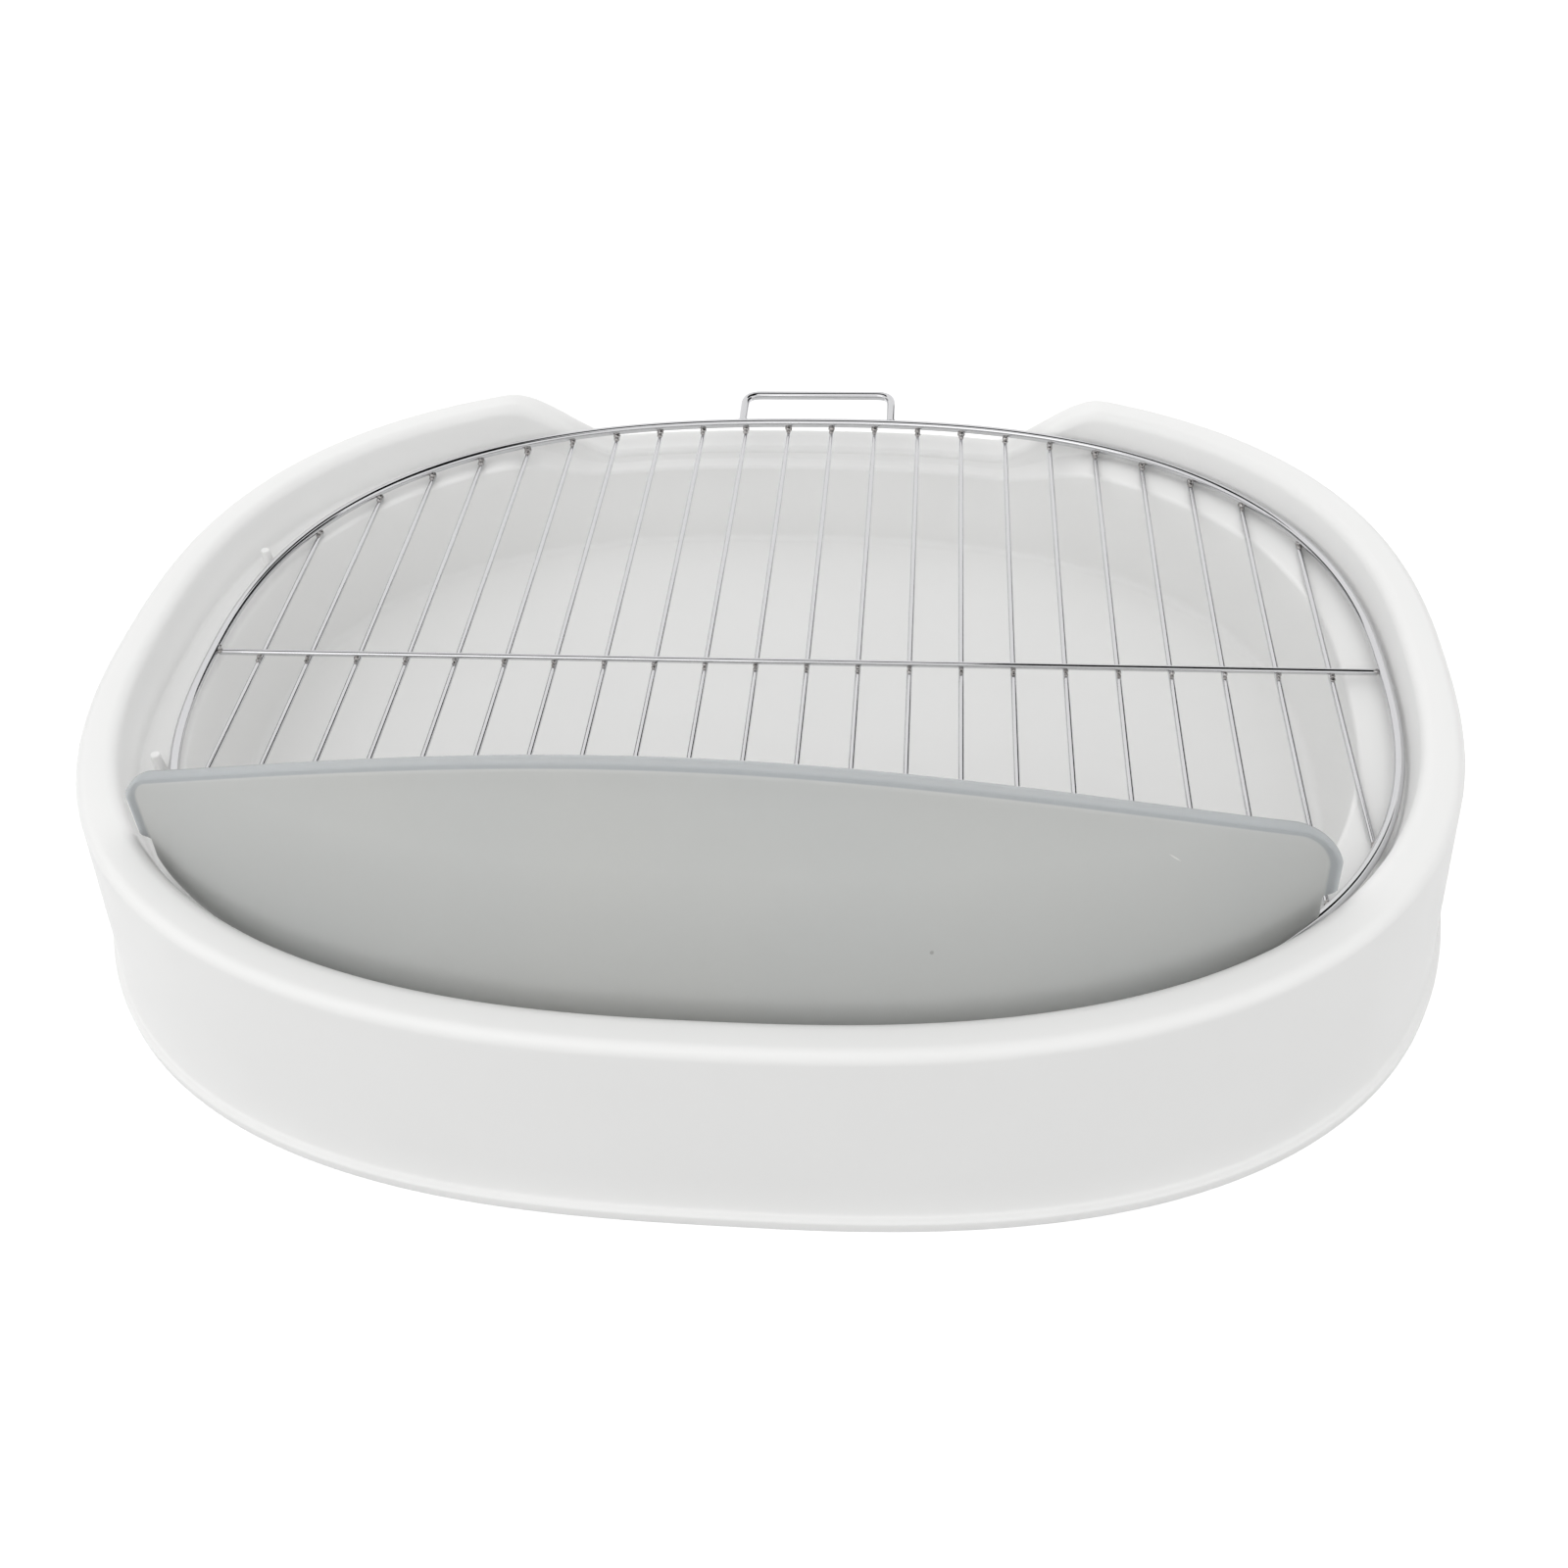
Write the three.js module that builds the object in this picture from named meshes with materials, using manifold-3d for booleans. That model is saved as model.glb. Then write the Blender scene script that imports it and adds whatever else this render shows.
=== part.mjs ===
// Dog potty tray: a moulded oval basin with a low entrance at the back, a welded wire grate that
// lies on the basin's ledge and lifts out by its handle, and a splash guard that stands on the grate.
// Millimetres. X is the tray's length, Y points to the entrance, Z is up, and the origin is on the
// ground under the middle of the tray.

import * as THREE from 'three';
import { mergeVertices } from 'three/addons/utils/BufferGeometryUtils.js';
import Module from 'manifold-3d';

const wasm = await Module();
wasm.setup();

// Fit
const clearance = 0.3; // left between two pieces that touch
const overrun = 1.5; // how far a moulded-on shape reaches into the wall that carries it

// Basin, measured at the rim's outer edge
const trayHalfWidth = 254;
const trayHalfDepth = 197.5;
const trayHeight = 82.6;
const trayOvalPower = 2.5; // exponent of the oval: 2 is an ellipse, and more is squarer
const wallThickness = 2.8;
const rimWidth = 14.7;
const rimRound = 4.5;
const skirtFlare = 5; // the skirt spreads this much from rim to foot
const skirtOvalPower = 2.65;
const footWidth = 2.5; // the foot flange stands out from the skirt
const footHeight = 5.5;
const footEdgeDrop = 0.5; // the flange's top falls this much outwards
const wallFootSetback = 2.1; // the inner wall leans in this much from rim to ledge
const ledgeDrop = 19.1; // from the rim's top down to the ledge
const ledgeWidth = 16.2;
const ledgeRound = 2;
const sumpFootSetback = 2.5; // the lower wall leans in this much from ledge to floor
const sumpFillet = 4;
const floorHeight = 14;

// Entrance, a dip in the back of the rim
const entranceHalfWidth = 88;
const entranceRun = 50; // length of the slope from the sill up to the full rim
const entranceDrop = 28.6; // from the rim's top down to the sill's outer edge
const sillFall = 2.5; // the sill falls this much towards the inside
const sillRound = 2.8;
const sillLedgeDrop = 1.7;
const sillLedgeWidth = 7.7;

// Pegs on the ledge at the left that keep the grate to the right
const pegPlace = 67; // along Y, to the back and to the front
const pegWallGap = 8; // from the wall's foot to the peg's middle
const pegRise = 8.5;
const pegFootRadius = 2.2;
const pegTopRadius = 1.9;

// Grate
const ringSidePlay = 6.5; // from the ring to the wall's foot at each side, with the grate in the middle
const ringEndPlay = 1.1; // the same at the front and the back
const ringOvalPower = 2.465;
const ringWire = 4;
const crossbarWire = 2.5;
const crossbarOffset = 3.7; // behind the ring's middle
const thinWire = 2.2;
const thinWirePitch = 20;
const grateWallGap = 0.5; // the grate lies this close to the right wall's foot
const grateTurn = 0.69; // degrees

// Handle loop at the back of the grate
const handleWire = 4;
const handleHalfWidth = 34.5;
const handleOffset = 2.7; // to the right of the ring's middle
const handleReach = 20.5; // from the middle of the ring's wire to the middle of the loop's
const handleRise = 2.3;
const handleBend = 7;

// Splash guard
const guardThickness = 2.4;
const guardSidePlay = 3; // narrower than the basin's inner wall, at each side
const guardFrontGap = 0.6;
const guardEndInset = 37.2; // the panel ends this far short of its oval's side
const guardHeight = 81.4; // in the middle
const guardEndHeight = 34.5;
const guardLeanDepth = 30.1; // the top lies this far behind the foot, in the middle
const guardLeanPower = 2.74;
const guardArchPower = 2.2;
const guardEndLeanShare = 0.1; // the ends lean in by this share of their height
const guardEndLeanPower = 8;
const guardCorner = 12;
const lipRise = 2.6;
const lipDepth = 5.7;
const lipThickness = 1.6;
const earWidth = 4.5;
const earSetback = 1.5;
const guardWallGap = 0.4; // it stands this close to the left wall's foot, slightly askew
const guardTurn = -0.95; // degrees

// Fineness of the curved surfaces
const basinSteps = 120;
const ringSteps = 96;
const wireSides = 8;
const pegSides = 12;
const handleSteps = 40;
const guardColumns = 48;
const guardRows = 4;

// Shares that bend the lip's section: along the lip, and into its depth
const lipBendShares = [0.6, 0.15];
const diagonalShare = Math.SQRT1_2; // where a quarter round is half way

const whitePlastic = new THREE.MeshStandardMaterial({ color: 0xdfdfdf, roughness: 0.45, metalness: 0 });
const stainlessWire = new THREE.MeshStandardMaterial({ color: 0xb9b9bb, roughness: 0.25, metalness: 1 });
const frostedPlastic = new THREE.MeshStandardMaterial({ color: 0xbcbdbc, roughness: 0.6, metalness: 0 });

// Places that follow from the sizes above
const wallFootInset = rimWidth + wallFootSetback;
const ledgeInset = wallFootInset + ledgeWidth;
const ledgeHeight = trayHeight - ledgeDrop;
const sillHeight = trayHeight - entranceDrop;
const sillLedgeHeight = sillHeight - sillFall - sillRound - sillLedgeDrop;
const ringHalfWidth = trayHalfWidth - wallFootInset - ringSidePlay - ringWire / 2; // to the wire's middle
const ringHalfDepth = trayHalfDepth - wallFootInset - ringEndPlay - ringWire / 2;
const thinWireHeight = ledgeHeight + clearance + thinWire / 2;
const ringHeight = thinWireHeight + thinWire / 2 + clearance + ringWire / 2;
const crossbarHeight = thinWireHeight + thinWire / 2 + clearance + crossbarWire / 2;
const thinWireCount = Math.floor((2 * ringHalfWidth) / thinWirePitch);
const grateShift = ringSidePlay - grateWallGap;
const guardBase = ringHeight + ringWire / 2 + clearance;
const guardHalfWidth = trayHalfWidth - wallFootInset - guardSidePlay;
const guardHalfDepth = trayHalfDepth - wallFootInset - guardFrontGap;
const guardHalfLength = guardHalfWidth - guardEndInset;
const guardShift = guardWallGap - guardSidePlay;

const signedPower = (value, power) => Math.sign(value) * Math.abs(value) ** power;

// Point of an oval at an angle of its parameter, counter-clockwise from +X.
function ovalPoint(halfWidth, halfDepth, power, angle) {
  const x = halfWidth * signedPower(Math.cos(angle), 2 / power);
  const y = halfDepth * signedPower(Math.sin(angle), 2 / power);
  return new THREE.Vector2(x, y);
}

// Half depth of an oval at a place along X.
function ovalReach(halfWidth, halfDepth, power, x) {
  return halfDepth * (1 - Math.abs(x / halfWidth) ** power) ** (1 / power);
}

// How far a place at the back is inside the entrance: 1 at the sill, 0 at the full rim.
function entranceShare(point) {
  if (point.y <= 0) {
    return 0;
  }
  const slopeEnd = entranceHalfWidth + entranceRun;
  return 1 - THREE.MathUtils.smoothstep(Math.abs(point.x), entranceHalfWidth, slopeEnd);
}

// One ring of the basin's skin. The inset is measured from the rim's outer edge, and an outward
// inset is negative. The second place is the ring's place at the entrance's sill.
function skinRing(inset, height, sillInset = inset, sillPlace = height, power = trayOvalPower) {
  const points = [];
  for (let step = 0; step < basinSteps; step += 1) {
    const angle = (2 * Math.PI * step) / basinSteps;
    const full = ovalPoint(trayHalfWidth - inset, trayHalfDepth - inset, power, angle);
    const low = ovalPoint(trayHalfWidth - sillInset, trayHalfDepth - sillInset, power, angle);
    const share = entranceShare(full);
    const plan = full.lerp(low, share);
    points.push(new THREE.Vector3(plan.x, plan.y, THREE.MathUtils.lerp(height, sillPlace, share)));
  }
  return points;
}

// Upper skin of the basin, from the middle of the floor out to the bottom of the foot flange.
function upperSkin() {
  const sumpFootInset = ledgeInset + sumpFootSetback;
  const sillLedgeInset = wallFootInset + sillLedgeWidth;
  const sillInner = sillHeight - sillFall;
  const roundGap = 1 - diagonalShare;
  return [
    skinRing(sumpFootInset + sumpFillet, floorHeight),
    skinRing(sumpFootInset + roundGap * sumpFillet, floorHeight + roundGap * sumpFillet),
    skinRing(sumpFootInset, floorHeight + sumpFillet),
    skinRing(ledgeInset, ledgeHeight - ledgeRound, sillLedgeInset, sillLedgeHeight - ledgeRound),
    skinRing(
      ledgeInset - roundGap * ledgeRound,
      ledgeHeight - roundGap * ledgeRound,
      sillLedgeInset - roundGap * ledgeRound,
      sillLedgeHeight - roundGap * ledgeRound,
    ),
    skinRing(ledgeInset - ledgeRound, ledgeHeight, sillLedgeInset - ledgeRound, sillLedgeHeight),
    skinRing(wallFootInset, ledgeHeight, wallFootInset, sillLedgeHeight),
    skinRing(rimWidth, trayHeight - rimRound, rimWidth, sillInner - sillRound),
    skinRing(
      rimWidth - roundGap * rimRound,
      trayHeight - roundGap * rimRound,
      rimWidth - roundGap * rimRound,
      sillInner - roundGap * sillRound,
    ),
    skinRing(rimWidth - rimRound, trayHeight, rimWidth - rimRound, sillInner),
    skinRing(rimRound, trayHeight, rimRound, sillHeight),
    skinRing(
      roundGap * rimRound,
      trayHeight - roundGap * rimRound,
      roundGap * rimRound,
      sillHeight - roundGap * rimRound,
    ),
    skinRing(0, trayHeight - rimRound, 0, sillHeight - rimRound),
    skinRing(-skirtFlare, footHeight, -skirtFlare, footHeight, skirtOvalPower),
    skinRing(-skirtFlare - footWidth, footHeight - footEdgeDrop, undefined, undefined, skirtOvalPower),
    skinRing(-skirtFlare - footWidth, 0, undefined, undefined, skirtOvalPower),
  ];
}

// Underside of the basin, from the foot flange in to the middle of the floor.
function lowerSkin() {
  const sillInner = sillHeight - sillFall;
  const underRim = trayHeight - wallThickness;
  const underLedge = ledgeHeight - wallThickness;
  const sumpBackInset = ledgeInset + sumpFootSetback - wallThickness;
  return [
    skinRing(wallThickness - skirtFlare, 0, undefined, undefined, skirtOvalPower),
    skinRing(wallThickness, trayHeight - rimRound, wallThickness, sillHeight - rimRound),
    skinRing(rimRound, underRim, rimRound, sillHeight - wallThickness),
    skinRing(rimWidth - rimRound, underRim, rimWidth - rimRound, sillInner - wallThickness),
    skinRing(
      rimWidth - wallThickness,
      trayHeight - rimRound,
      rimWidth - wallThickness,
      sillInner - sillRound - wallThickness / 2,
    ),
    skinRing(
      wallFootInset - wallThickness,
      underLedge,
      wallFootInset - wallThickness,
      sillLedgeHeight - wallThickness,
    ),
    skinRing(
      ledgeInset - wallThickness,
      underLedge,
      wallFootInset + sillLedgeWidth - wallThickness,
      sillLedgeHeight - wallThickness,
    ),
    skinRing(sumpBackInset, floorHeight + sumpFillet),
    skinRing(sumpBackInset + sumpFillet, floorHeight - wallThickness),
  ];
}

// Closed skin through a stack of rings, with a fan over the first and the last.
function skinGeometry(rings, firstPole, lastPole) {
  const count = rings[0].length;
  const places = [firstPole, ...rings.flat(), lastPole];
  const last = places.length - 1;
  const at = (ring, step) => 1 + ring * count + (step % count);
  const faces = [];
  for (let step = 0; step < count; step += 1) {
    faces.push(0, at(0, step), at(0, step + 1));
    faces.push(at(rings.length - 1, step), last, at(rings.length - 1, step + 1));
  }
  for (let ring = 0; ring + 1 < rings.length; ring += 1) {
    for (let step = 0; step < count; step += 1) {
      faces.push(at(ring, step), at(ring + 1, step), at(ring + 1, step + 1));
      faces.push(at(ring, step), at(ring + 1, step + 1), at(ring, step + 1));
    }
  }
  const geometry = new THREE.BufferGeometry().setFromPoints(places);
  geometry.setIndex(faces);
  return geometry;
}

// A peg that stands on the ledge beside the left wall.
function pegGeometry(place) {
  const halfWidth = trayHalfWidth - wallFootInset;
  const halfDepth = trayHalfDepth - wallFootInset;
  const wall = -ovalReach(halfDepth, halfWidth, trayOvalPower, place);
  const slopeX = signedPower(wall / halfWidth, trayOvalPower - 1) / halfWidth;
  const slopeY = signedPower(place / halfDepth, trayOvalPower - 1) / halfDepth;
  const inward = new THREE.Vector3(-slopeX, -slopeY, 0).normalize();
  const length = pegRise + overrun;
  const middle = new THREE.Vector3(wall, place, ledgeHeight - overrun + length / 2);
  middle.addScaledVector(inward, pegWallGap);
  const geometry = new THREE.CylinderGeometry(pegTopRadius, pegFootRadius, length, pegSides);
  geometry.rotateX(Math.PI / 2);
  geometry.translate(middle.x, middle.y, middle.z);
  return geometry;
}

// Solid of a closed geometry, for joining.
function solidOf(geometry) {
  const bare = geometry.clone();
  bare.deleteAttribute('normal');
  bare.deleteAttribute('uv');
  const merged = mergeVertices(bare);
  return new wasm.Manifold(
    new wasm.Mesh({
      numProp: 3,
      vertProperties: new Float32Array(merged.attributes.position.array),
      triVerts: new Uint32Array(merged.index.array),
    }),
  );
}

function geometryOf(solid) {
  const mesh = solid.getMesh();
  const geometry = new THREE.BufferGeometry();
  geometry.setAttribute('position', new THREE.BufferAttribute(mesh.vertProperties, 3));
  geometry.setIndex(new THREE.BufferAttribute(mesh.triVerts, 1));
  return geometry;
}

function basinGeometry() {
  const rings = [...upperSkin(), ...lowerSkin()];
  const floorMiddle = new THREE.Vector3(0, 0, floorHeight);
  const underMiddle = new THREE.Vector3(0, 0, floorHeight - wallThickness);
  let solid = solidOf(skinGeometry(rings, floorMiddle, underMiddle));
  for (const place of [pegPlace, -pegPlace]) {
    solid = solid.add(solidOf(pegGeometry(place)));
  }
  return geometryOf(solid);
}

// The ring's centre line.
class RingCurve extends THREE.Curve {
  getPoint(share, target = new THREE.Vector3()) {
    const plan = ovalPoint(ringHalfWidth, ringHalfDepth, ringOvalPower, 2 * Math.PI * share);
    return target.set(plan.x, plan.y, ringHeight);
  }
}

function ringGeometry() {
  return new THREE.TubeGeometry(new RingCurve(), ringSteps, ringWire / 2, wireSides, true);
}

// A straight round wire between two places.
function wireGeometry(start, end, diameter) {
  const along = new THREE.Vector3().subVectors(end, start);
  const geometry = new THREE.CylinderGeometry(diameter / 2, diameter / 2, along.length(), wireSides);
  const up = new THREE.Vector3(0, 1, 0);
  geometry.applyQuaternion(new THREE.Quaternion().setFromUnitVectors(up, along.normalize()));
  const middle = new THREE.Vector3().addVectors(start, end).divideScalar(2);
  geometry.translate(middle.x, middle.y, middle.z);
  return geometry;
}

// A thin wire runs from front to back under the ring, to the middle of the ring's wire.
function thinWireGeometry(index) {
  const x = (index - (thinWireCount - 1) / 2) * thinWirePitch;
  const reach = ovalReach(ringHalfWidth, ringHalfDepth, ringOvalPower, x);
  const front = new THREE.Vector3(x, -reach, thinWireHeight);
  const back = new THREE.Vector3(x, reach, thinWireHeight);
  return wireGeometry(front, back, thinWire);
}

// The crossbar lies on the thin wires and butts against the ring's inside at both ends.
function crossbarGeometry() {
  const side = ovalReach(ringHalfDepth, ringHalfWidth, ringOvalPower, crossbarOffset);
  const reach = side - ringWire / 2 - clearance;
  const left = new THREE.Vector3(-reach, crossbarOffset, crossbarHeight);
  const right = new THREE.Vector3(reach, crossbarOffset, crossbarHeight);
  return wireGeometry(left, right, crossbarWire);
}

// The handle's centre line: out from the ring, round the two bends, and back.
function handlePath() {
  const foot = ovalReach(ringHalfWidth, ringHalfDepth, ringOvalPower, handleHalfWidth - handleOffset);
  const start = foot + ringWire / 2 + clearance;
  const end = ringHalfDepth + handleReach;
  const rise = (y) => ringHeight + (handleRise * (y - start)) / (end - start);
  const place = (x, y) => new THREE.Vector3(handleOffset + x, y, rise(y));
  const path = new THREE.CurvePath();
  const bendX = handleHalfWidth - handleBend;
  const bendY = end - handleBend;
  path.add(new THREE.LineCurve3(place(-handleHalfWidth, start), place(-handleHalfWidth, bendY)));
  path.add(
    new THREE.QuadraticBezierCurve3(
      place(-handleHalfWidth, bendY),
      place(-handleHalfWidth, end),
      place(-bendX, end),
    ),
  );
  path.add(new THREE.LineCurve3(place(-bendX, end), place(bendX, end)));
  path.add(
    new THREE.QuadraticBezierCurve3(
      place(bendX, end),
      place(handleHalfWidth, end),
      place(handleHalfWidth, bendY),
    ),
  );
  path.add(new THREE.LineCurve3(place(handleHalfWidth, bendY), place(handleHalfWidth, start)));
  return path;
}

function roundSection(diameter) {
  const points = [];
  for (let side = 0; side < wireSides; side += 1) {
    const angle = (2 * Math.PI * side) / wireSides;
    points.push(new THREE.Vector2(Math.cos(angle), Math.sin(angle)).multiplyScalar(diameter / 2));
  }
  return new THREE.Shape(points);
}

function handleGeometry() {
  const options = { steps: handleSteps, extrudePath: handlePath() };
  return new THREE.ExtrudeGeometry(roundSection(handleWire), options);
}

// The guard's front surface: columns from left to right, each from its foot to its top.
function guardFront() {
  const columns = [];
  const endDepth = ovalReach(guardHalfWidth, guardHalfDepth, trayOvalPower, guardHalfLength);
  const middleDepth = guardHalfDepth - guardLeanDepth;
  for (let column = 0; column <= guardColumns; column += 1) {
    const x = guardHalfLength * Math.sin(Math.PI * (column / guardColumns - 1 / 2));
    const share = Math.abs(x) / guardHalfLength;
    const footDepth = ovalReach(guardHalfWidth, guardHalfDepth, trayOvalPower, x);
    const topDepth = THREE.MathUtils.lerp(middleDepth, endDepth, share ** guardLeanPower);
    const height = THREE.MathUtils.lerp(guardHeight, guardEndHeight, share ** guardArchPower);
    const past = THREE.MathUtils.clamp(Math.abs(x) - guardHalfLength + guardCorner, 0, guardCorner);
    const cornerDrop = guardCorner - Math.sqrt(guardCorner ** 2 - past ** 2);
    const rows = [];
    for (let row = 0; row <= guardRows; row += 1) {
      const up = (row / guardRows) * (1 - cornerDrop / height);
      const depth = THREE.MathUtils.lerp(footDepth, topDepth, up);
      const endLean = guardEndLeanShare * share ** guardEndLeanPower * up * height;
      rows.push(new THREE.Vector3(x - Math.sign(x) * endLean, -depth, guardBase + up * height));
    }
    columns.push(rows);
  }
  return columns;
}

// Direction square to the guard's front surface, into the tray.
function guardBackward(front, column, row) {
  const left = front[Math.max(0, column - 1)][row];
  const right = front[Math.min(guardColumns, column + 1)][row];
  const low = front[column][Math.max(0, row - 1)];
  const high = front[column][Math.min(guardRows, row + 1)];
  const across = new THREE.Vector3().subVectors(right, left);
  const upward = new THREE.Vector3().subVectors(high, low);
  return upward.cross(across).normalize();
}

// The guard's back surface stands level behind the front one, so that its foot is flat.
function guardBack(place, backward) {
  const level = new THREE.Vector3(backward.x, backward.y, 0);
  const slope = level.length();
  return place.clone().addScaledVector(level, guardThickness / slope ** 2);
}

// The guard's outline as column and row: up the left end, along the top and down the right end.
function guardOutline() {
  const outline = [];
  for (let row = 0; row < guardRows; row += 1) {
    outline.push([0, row]);
  }
  for (let column = 0; column <= guardColumns; column += 1) {
    outline.push([column, guardRows]);
  }
  for (let row = guardRows - 1; row >= 0; row -= 1) {
    outline.push([guardColumns, row]);
  }
  return outline;
}

// The turned lip's section at one place of the outline, as three points from the bend to the edge's
// back. Along the top it turns back, and at the ends it becomes a flat ear that stands out sideways.
function lipSection(place, along, backward) {
  const outward = new THREE.Vector3().crossVectors(along, backward).normalize();
  const upness = outward.z / Math.sqrt(1 - backward.z ** 2);
  const sideShare = 1 - upness ** 2;
  const reach = THREE.MathUtils.lerp(lipRise, earWidth, sideShare);
  const depth = THREE.MathUtils.lerp(lipDepth, earSetback, sideShare);
  const edgeDrop = THREE.MathUtils.lerp(lipThickness, 0, sideShare);
  const edgeDepth = THREE.MathUtils.lerp(clearance, guardThickness, sideShare);
  const point = (out, back) => place.clone().addScaledVector(outward, out).addScaledVector(backward, back);
  return [
    point(reach * lipBendShares[0], depth * lipBendShares[1]),
    point(reach, depth),
    point(reach - edgeDrop, depth + edgeDepth),
  ];
}

// The guard is one sheet with its lip, closed all round.
function guardGeometry() {
  const front = guardFront();
  const outline = guardOutline();
  const places = [];
  const faces = [];
  const add = (place) => {
    const id = places.length;
    places.push(place);
    return id;
  };
  const quad = (a, b, c, d) => faces.push(a, b, c, a, c, d);

  const backwards = front.map((rows, column) => rows.map((_, row) => guardBackward(front, column, row)));
  const frontIds = front.map((rows) => rows.map((place) => add(place)));
  const backIds = front.map((rows, column) =>
    rows.map((place, row) => add(guardBack(place, backwards[column][row]))),
  );
  for (let column = 0; column < guardColumns; column += 1) {
    for (let row = 0; row < guardRows; row += 1) {
      const [front0, front1] = [frontIds[column], frontIds[column + 1]];
      const [back0, back1] = [backIds[column], backIds[column + 1]];
      quad(front0[row], front1[row], front1[row + 1], front0[row + 1]);
      quad(back0[row], back0[row + 1], back1[row + 1], back1[row]);
    }
    quad(frontIds[column][0], backIds[column][0], backIds[column + 1][0], frontIds[column + 1][0]);
  }

  const sections = outline.map(([column, row], index) => {
    const before = outline[Math.max(0, index - 1)];
    const after = outline[Math.min(outline.length - 1, index + 1)];
    const along = new THREE.Vector3().subVectors(front[after[0]][after[1]], front[before[0]][before[1]]);
    const lip = lipSection(front[column][row], along.normalize(), backwards[column][row]);
    return [frontIds[column][row], ...lip.map((place) => add(place)), backIds[column][row]];
  });
  for (let index = 0; index + 1 < sections.length; index += 1) {
    const here = sections[index];
    const next = sections[index + 1];
    for (let side = 0; side + 1 < here.length; side += 1) {
      quad(here[side], next[side], next[side + 1], here[side + 1]);
    }
  }
  const leftEnd = sections[0];
  const rightEnd = sections[sections.length - 1];
  for (let side = 1; side + 1 < leftEnd.length; side += 1) {
    faces.push(leftEnd[0], leftEnd[side], leftEnd[side + 1]);
    faces.push(rightEnd[0], rightEnd[side + 1], rightEnd[side]);
  }

  const geometry = new THREE.BufferGeometry().setFromPoints(places);
  geometry.setIndex(faces);
  return geometry;
}

function piece(name, geometry, material) {
  const mesh = new THREE.Mesh(geometry, material);
  mesh.name = name;
  return mesh;
}

function grate() {
  const group = new THREE.Group();
  group.add(piece('grate_ring', ringGeometry(), stainlessWire));
  group.add(piece('grate_crossbar', crossbarGeometry(), stainlessWire));
  for (let index = 0; index < thinWireCount; index += 1) {
    const name = `grate_wire_${String(index + 1).padStart(2, '0')}`;
    group.add(piece(name, thinWireGeometry(index), stainlessWire));
  }
  group.add(piece('grate_handle', handleGeometry(), stainlessWire));
  group.position.x = grateShift;
  group.rotation.z = THREE.MathUtils.degToRad(grateTurn);
  return group;
}

function splashGuard() {
  const guard = piece('splash_guard', guardGeometry(), frostedPlastic);
  guard.position.x = guardShift;
  guard.rotation.z = THREE.MathUtils.degToRad(guardTurn);
  return guard;
}

const tray = new THREE.Group();
tray.add(piece('basin', basinGeometry(), whitePlastic));
tray.add(grate());
tray.add(splashGuard());

export default tray;
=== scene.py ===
"""Dog potty tray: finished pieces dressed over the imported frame.

A moulded oval basin with a low entrance at the back, a welded wire grate that lies on the basin's
ledge, and a frosted splash guard that stands on the grate. Metres. X is the tray's length, Y points
to the entrance, and Z is up.
"""

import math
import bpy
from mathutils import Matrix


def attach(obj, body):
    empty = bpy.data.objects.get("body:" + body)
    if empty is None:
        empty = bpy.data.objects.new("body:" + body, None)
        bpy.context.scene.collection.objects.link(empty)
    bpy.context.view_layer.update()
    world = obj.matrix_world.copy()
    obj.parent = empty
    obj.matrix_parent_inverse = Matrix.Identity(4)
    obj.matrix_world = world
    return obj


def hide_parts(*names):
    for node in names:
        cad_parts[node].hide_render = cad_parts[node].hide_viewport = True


bl_info = {
    "name": "Dog potty tray",
    "version": (1, 0, 0),
    "blender": (4, 5, 0),
    "location": "3D View > Sidebar > Tray",
    "description": "Builds the finished basin, wire grate and splash guard of a dog potty tray",
    "category": "Add Mesh",
}

import bpy
import numpy as np
from mathutils import Matrix, Vector

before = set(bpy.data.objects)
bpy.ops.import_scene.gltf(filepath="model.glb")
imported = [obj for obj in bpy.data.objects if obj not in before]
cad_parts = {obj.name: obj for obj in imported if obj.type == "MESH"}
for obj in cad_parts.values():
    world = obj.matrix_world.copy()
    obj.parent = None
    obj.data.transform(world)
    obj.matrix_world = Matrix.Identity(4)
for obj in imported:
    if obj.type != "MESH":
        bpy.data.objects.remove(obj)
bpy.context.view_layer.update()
MM = 0.001
FULL_TURN = 2 * math.pi
WHITE = (1, 1, 1, 1)
# A Mix node's two colours go by number, because its hidden inputs have the same names
MIX_A, MIX_B = 6, 7


def linear(code):
    """Turn an sRGB hex colour into linear red, green and blue."""
    channels = [int(code[i : i + 2], 16) / 255 for i in (1, 3, 5)]
    return [c / 12.92 if c <= 0.04045 else ((c + 0.055) / 1.055) ** 2.4 for c in channels]


def number(name, description, default, **kind):
    """Describe a number property. Its kind is a unit or a subtype, if it has one."""
    return bpy.props.FloatProperty(name=name, description=description, default=default, **kind)


def length(name, description, millimetres):
    """Describe a length property whose default is given in millimetres."""
    return number(name, description, millimetres * MM, unit="LENGTH", precision=4)


def angle(name, description, degrees):
    """Describe an angle property whose default is given in degrees."""
    return number(name, description, math.radians(degrees), subtype="ANGLE")


def colour(name, description, code):
    """Describe a colour property whose default is an sRGB hex value."""
    return bpy.props.FloatVectorProperty(
        name=name, description=description, default=linear(code), subtype="COLOR", min=0, max=1
    )


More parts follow.
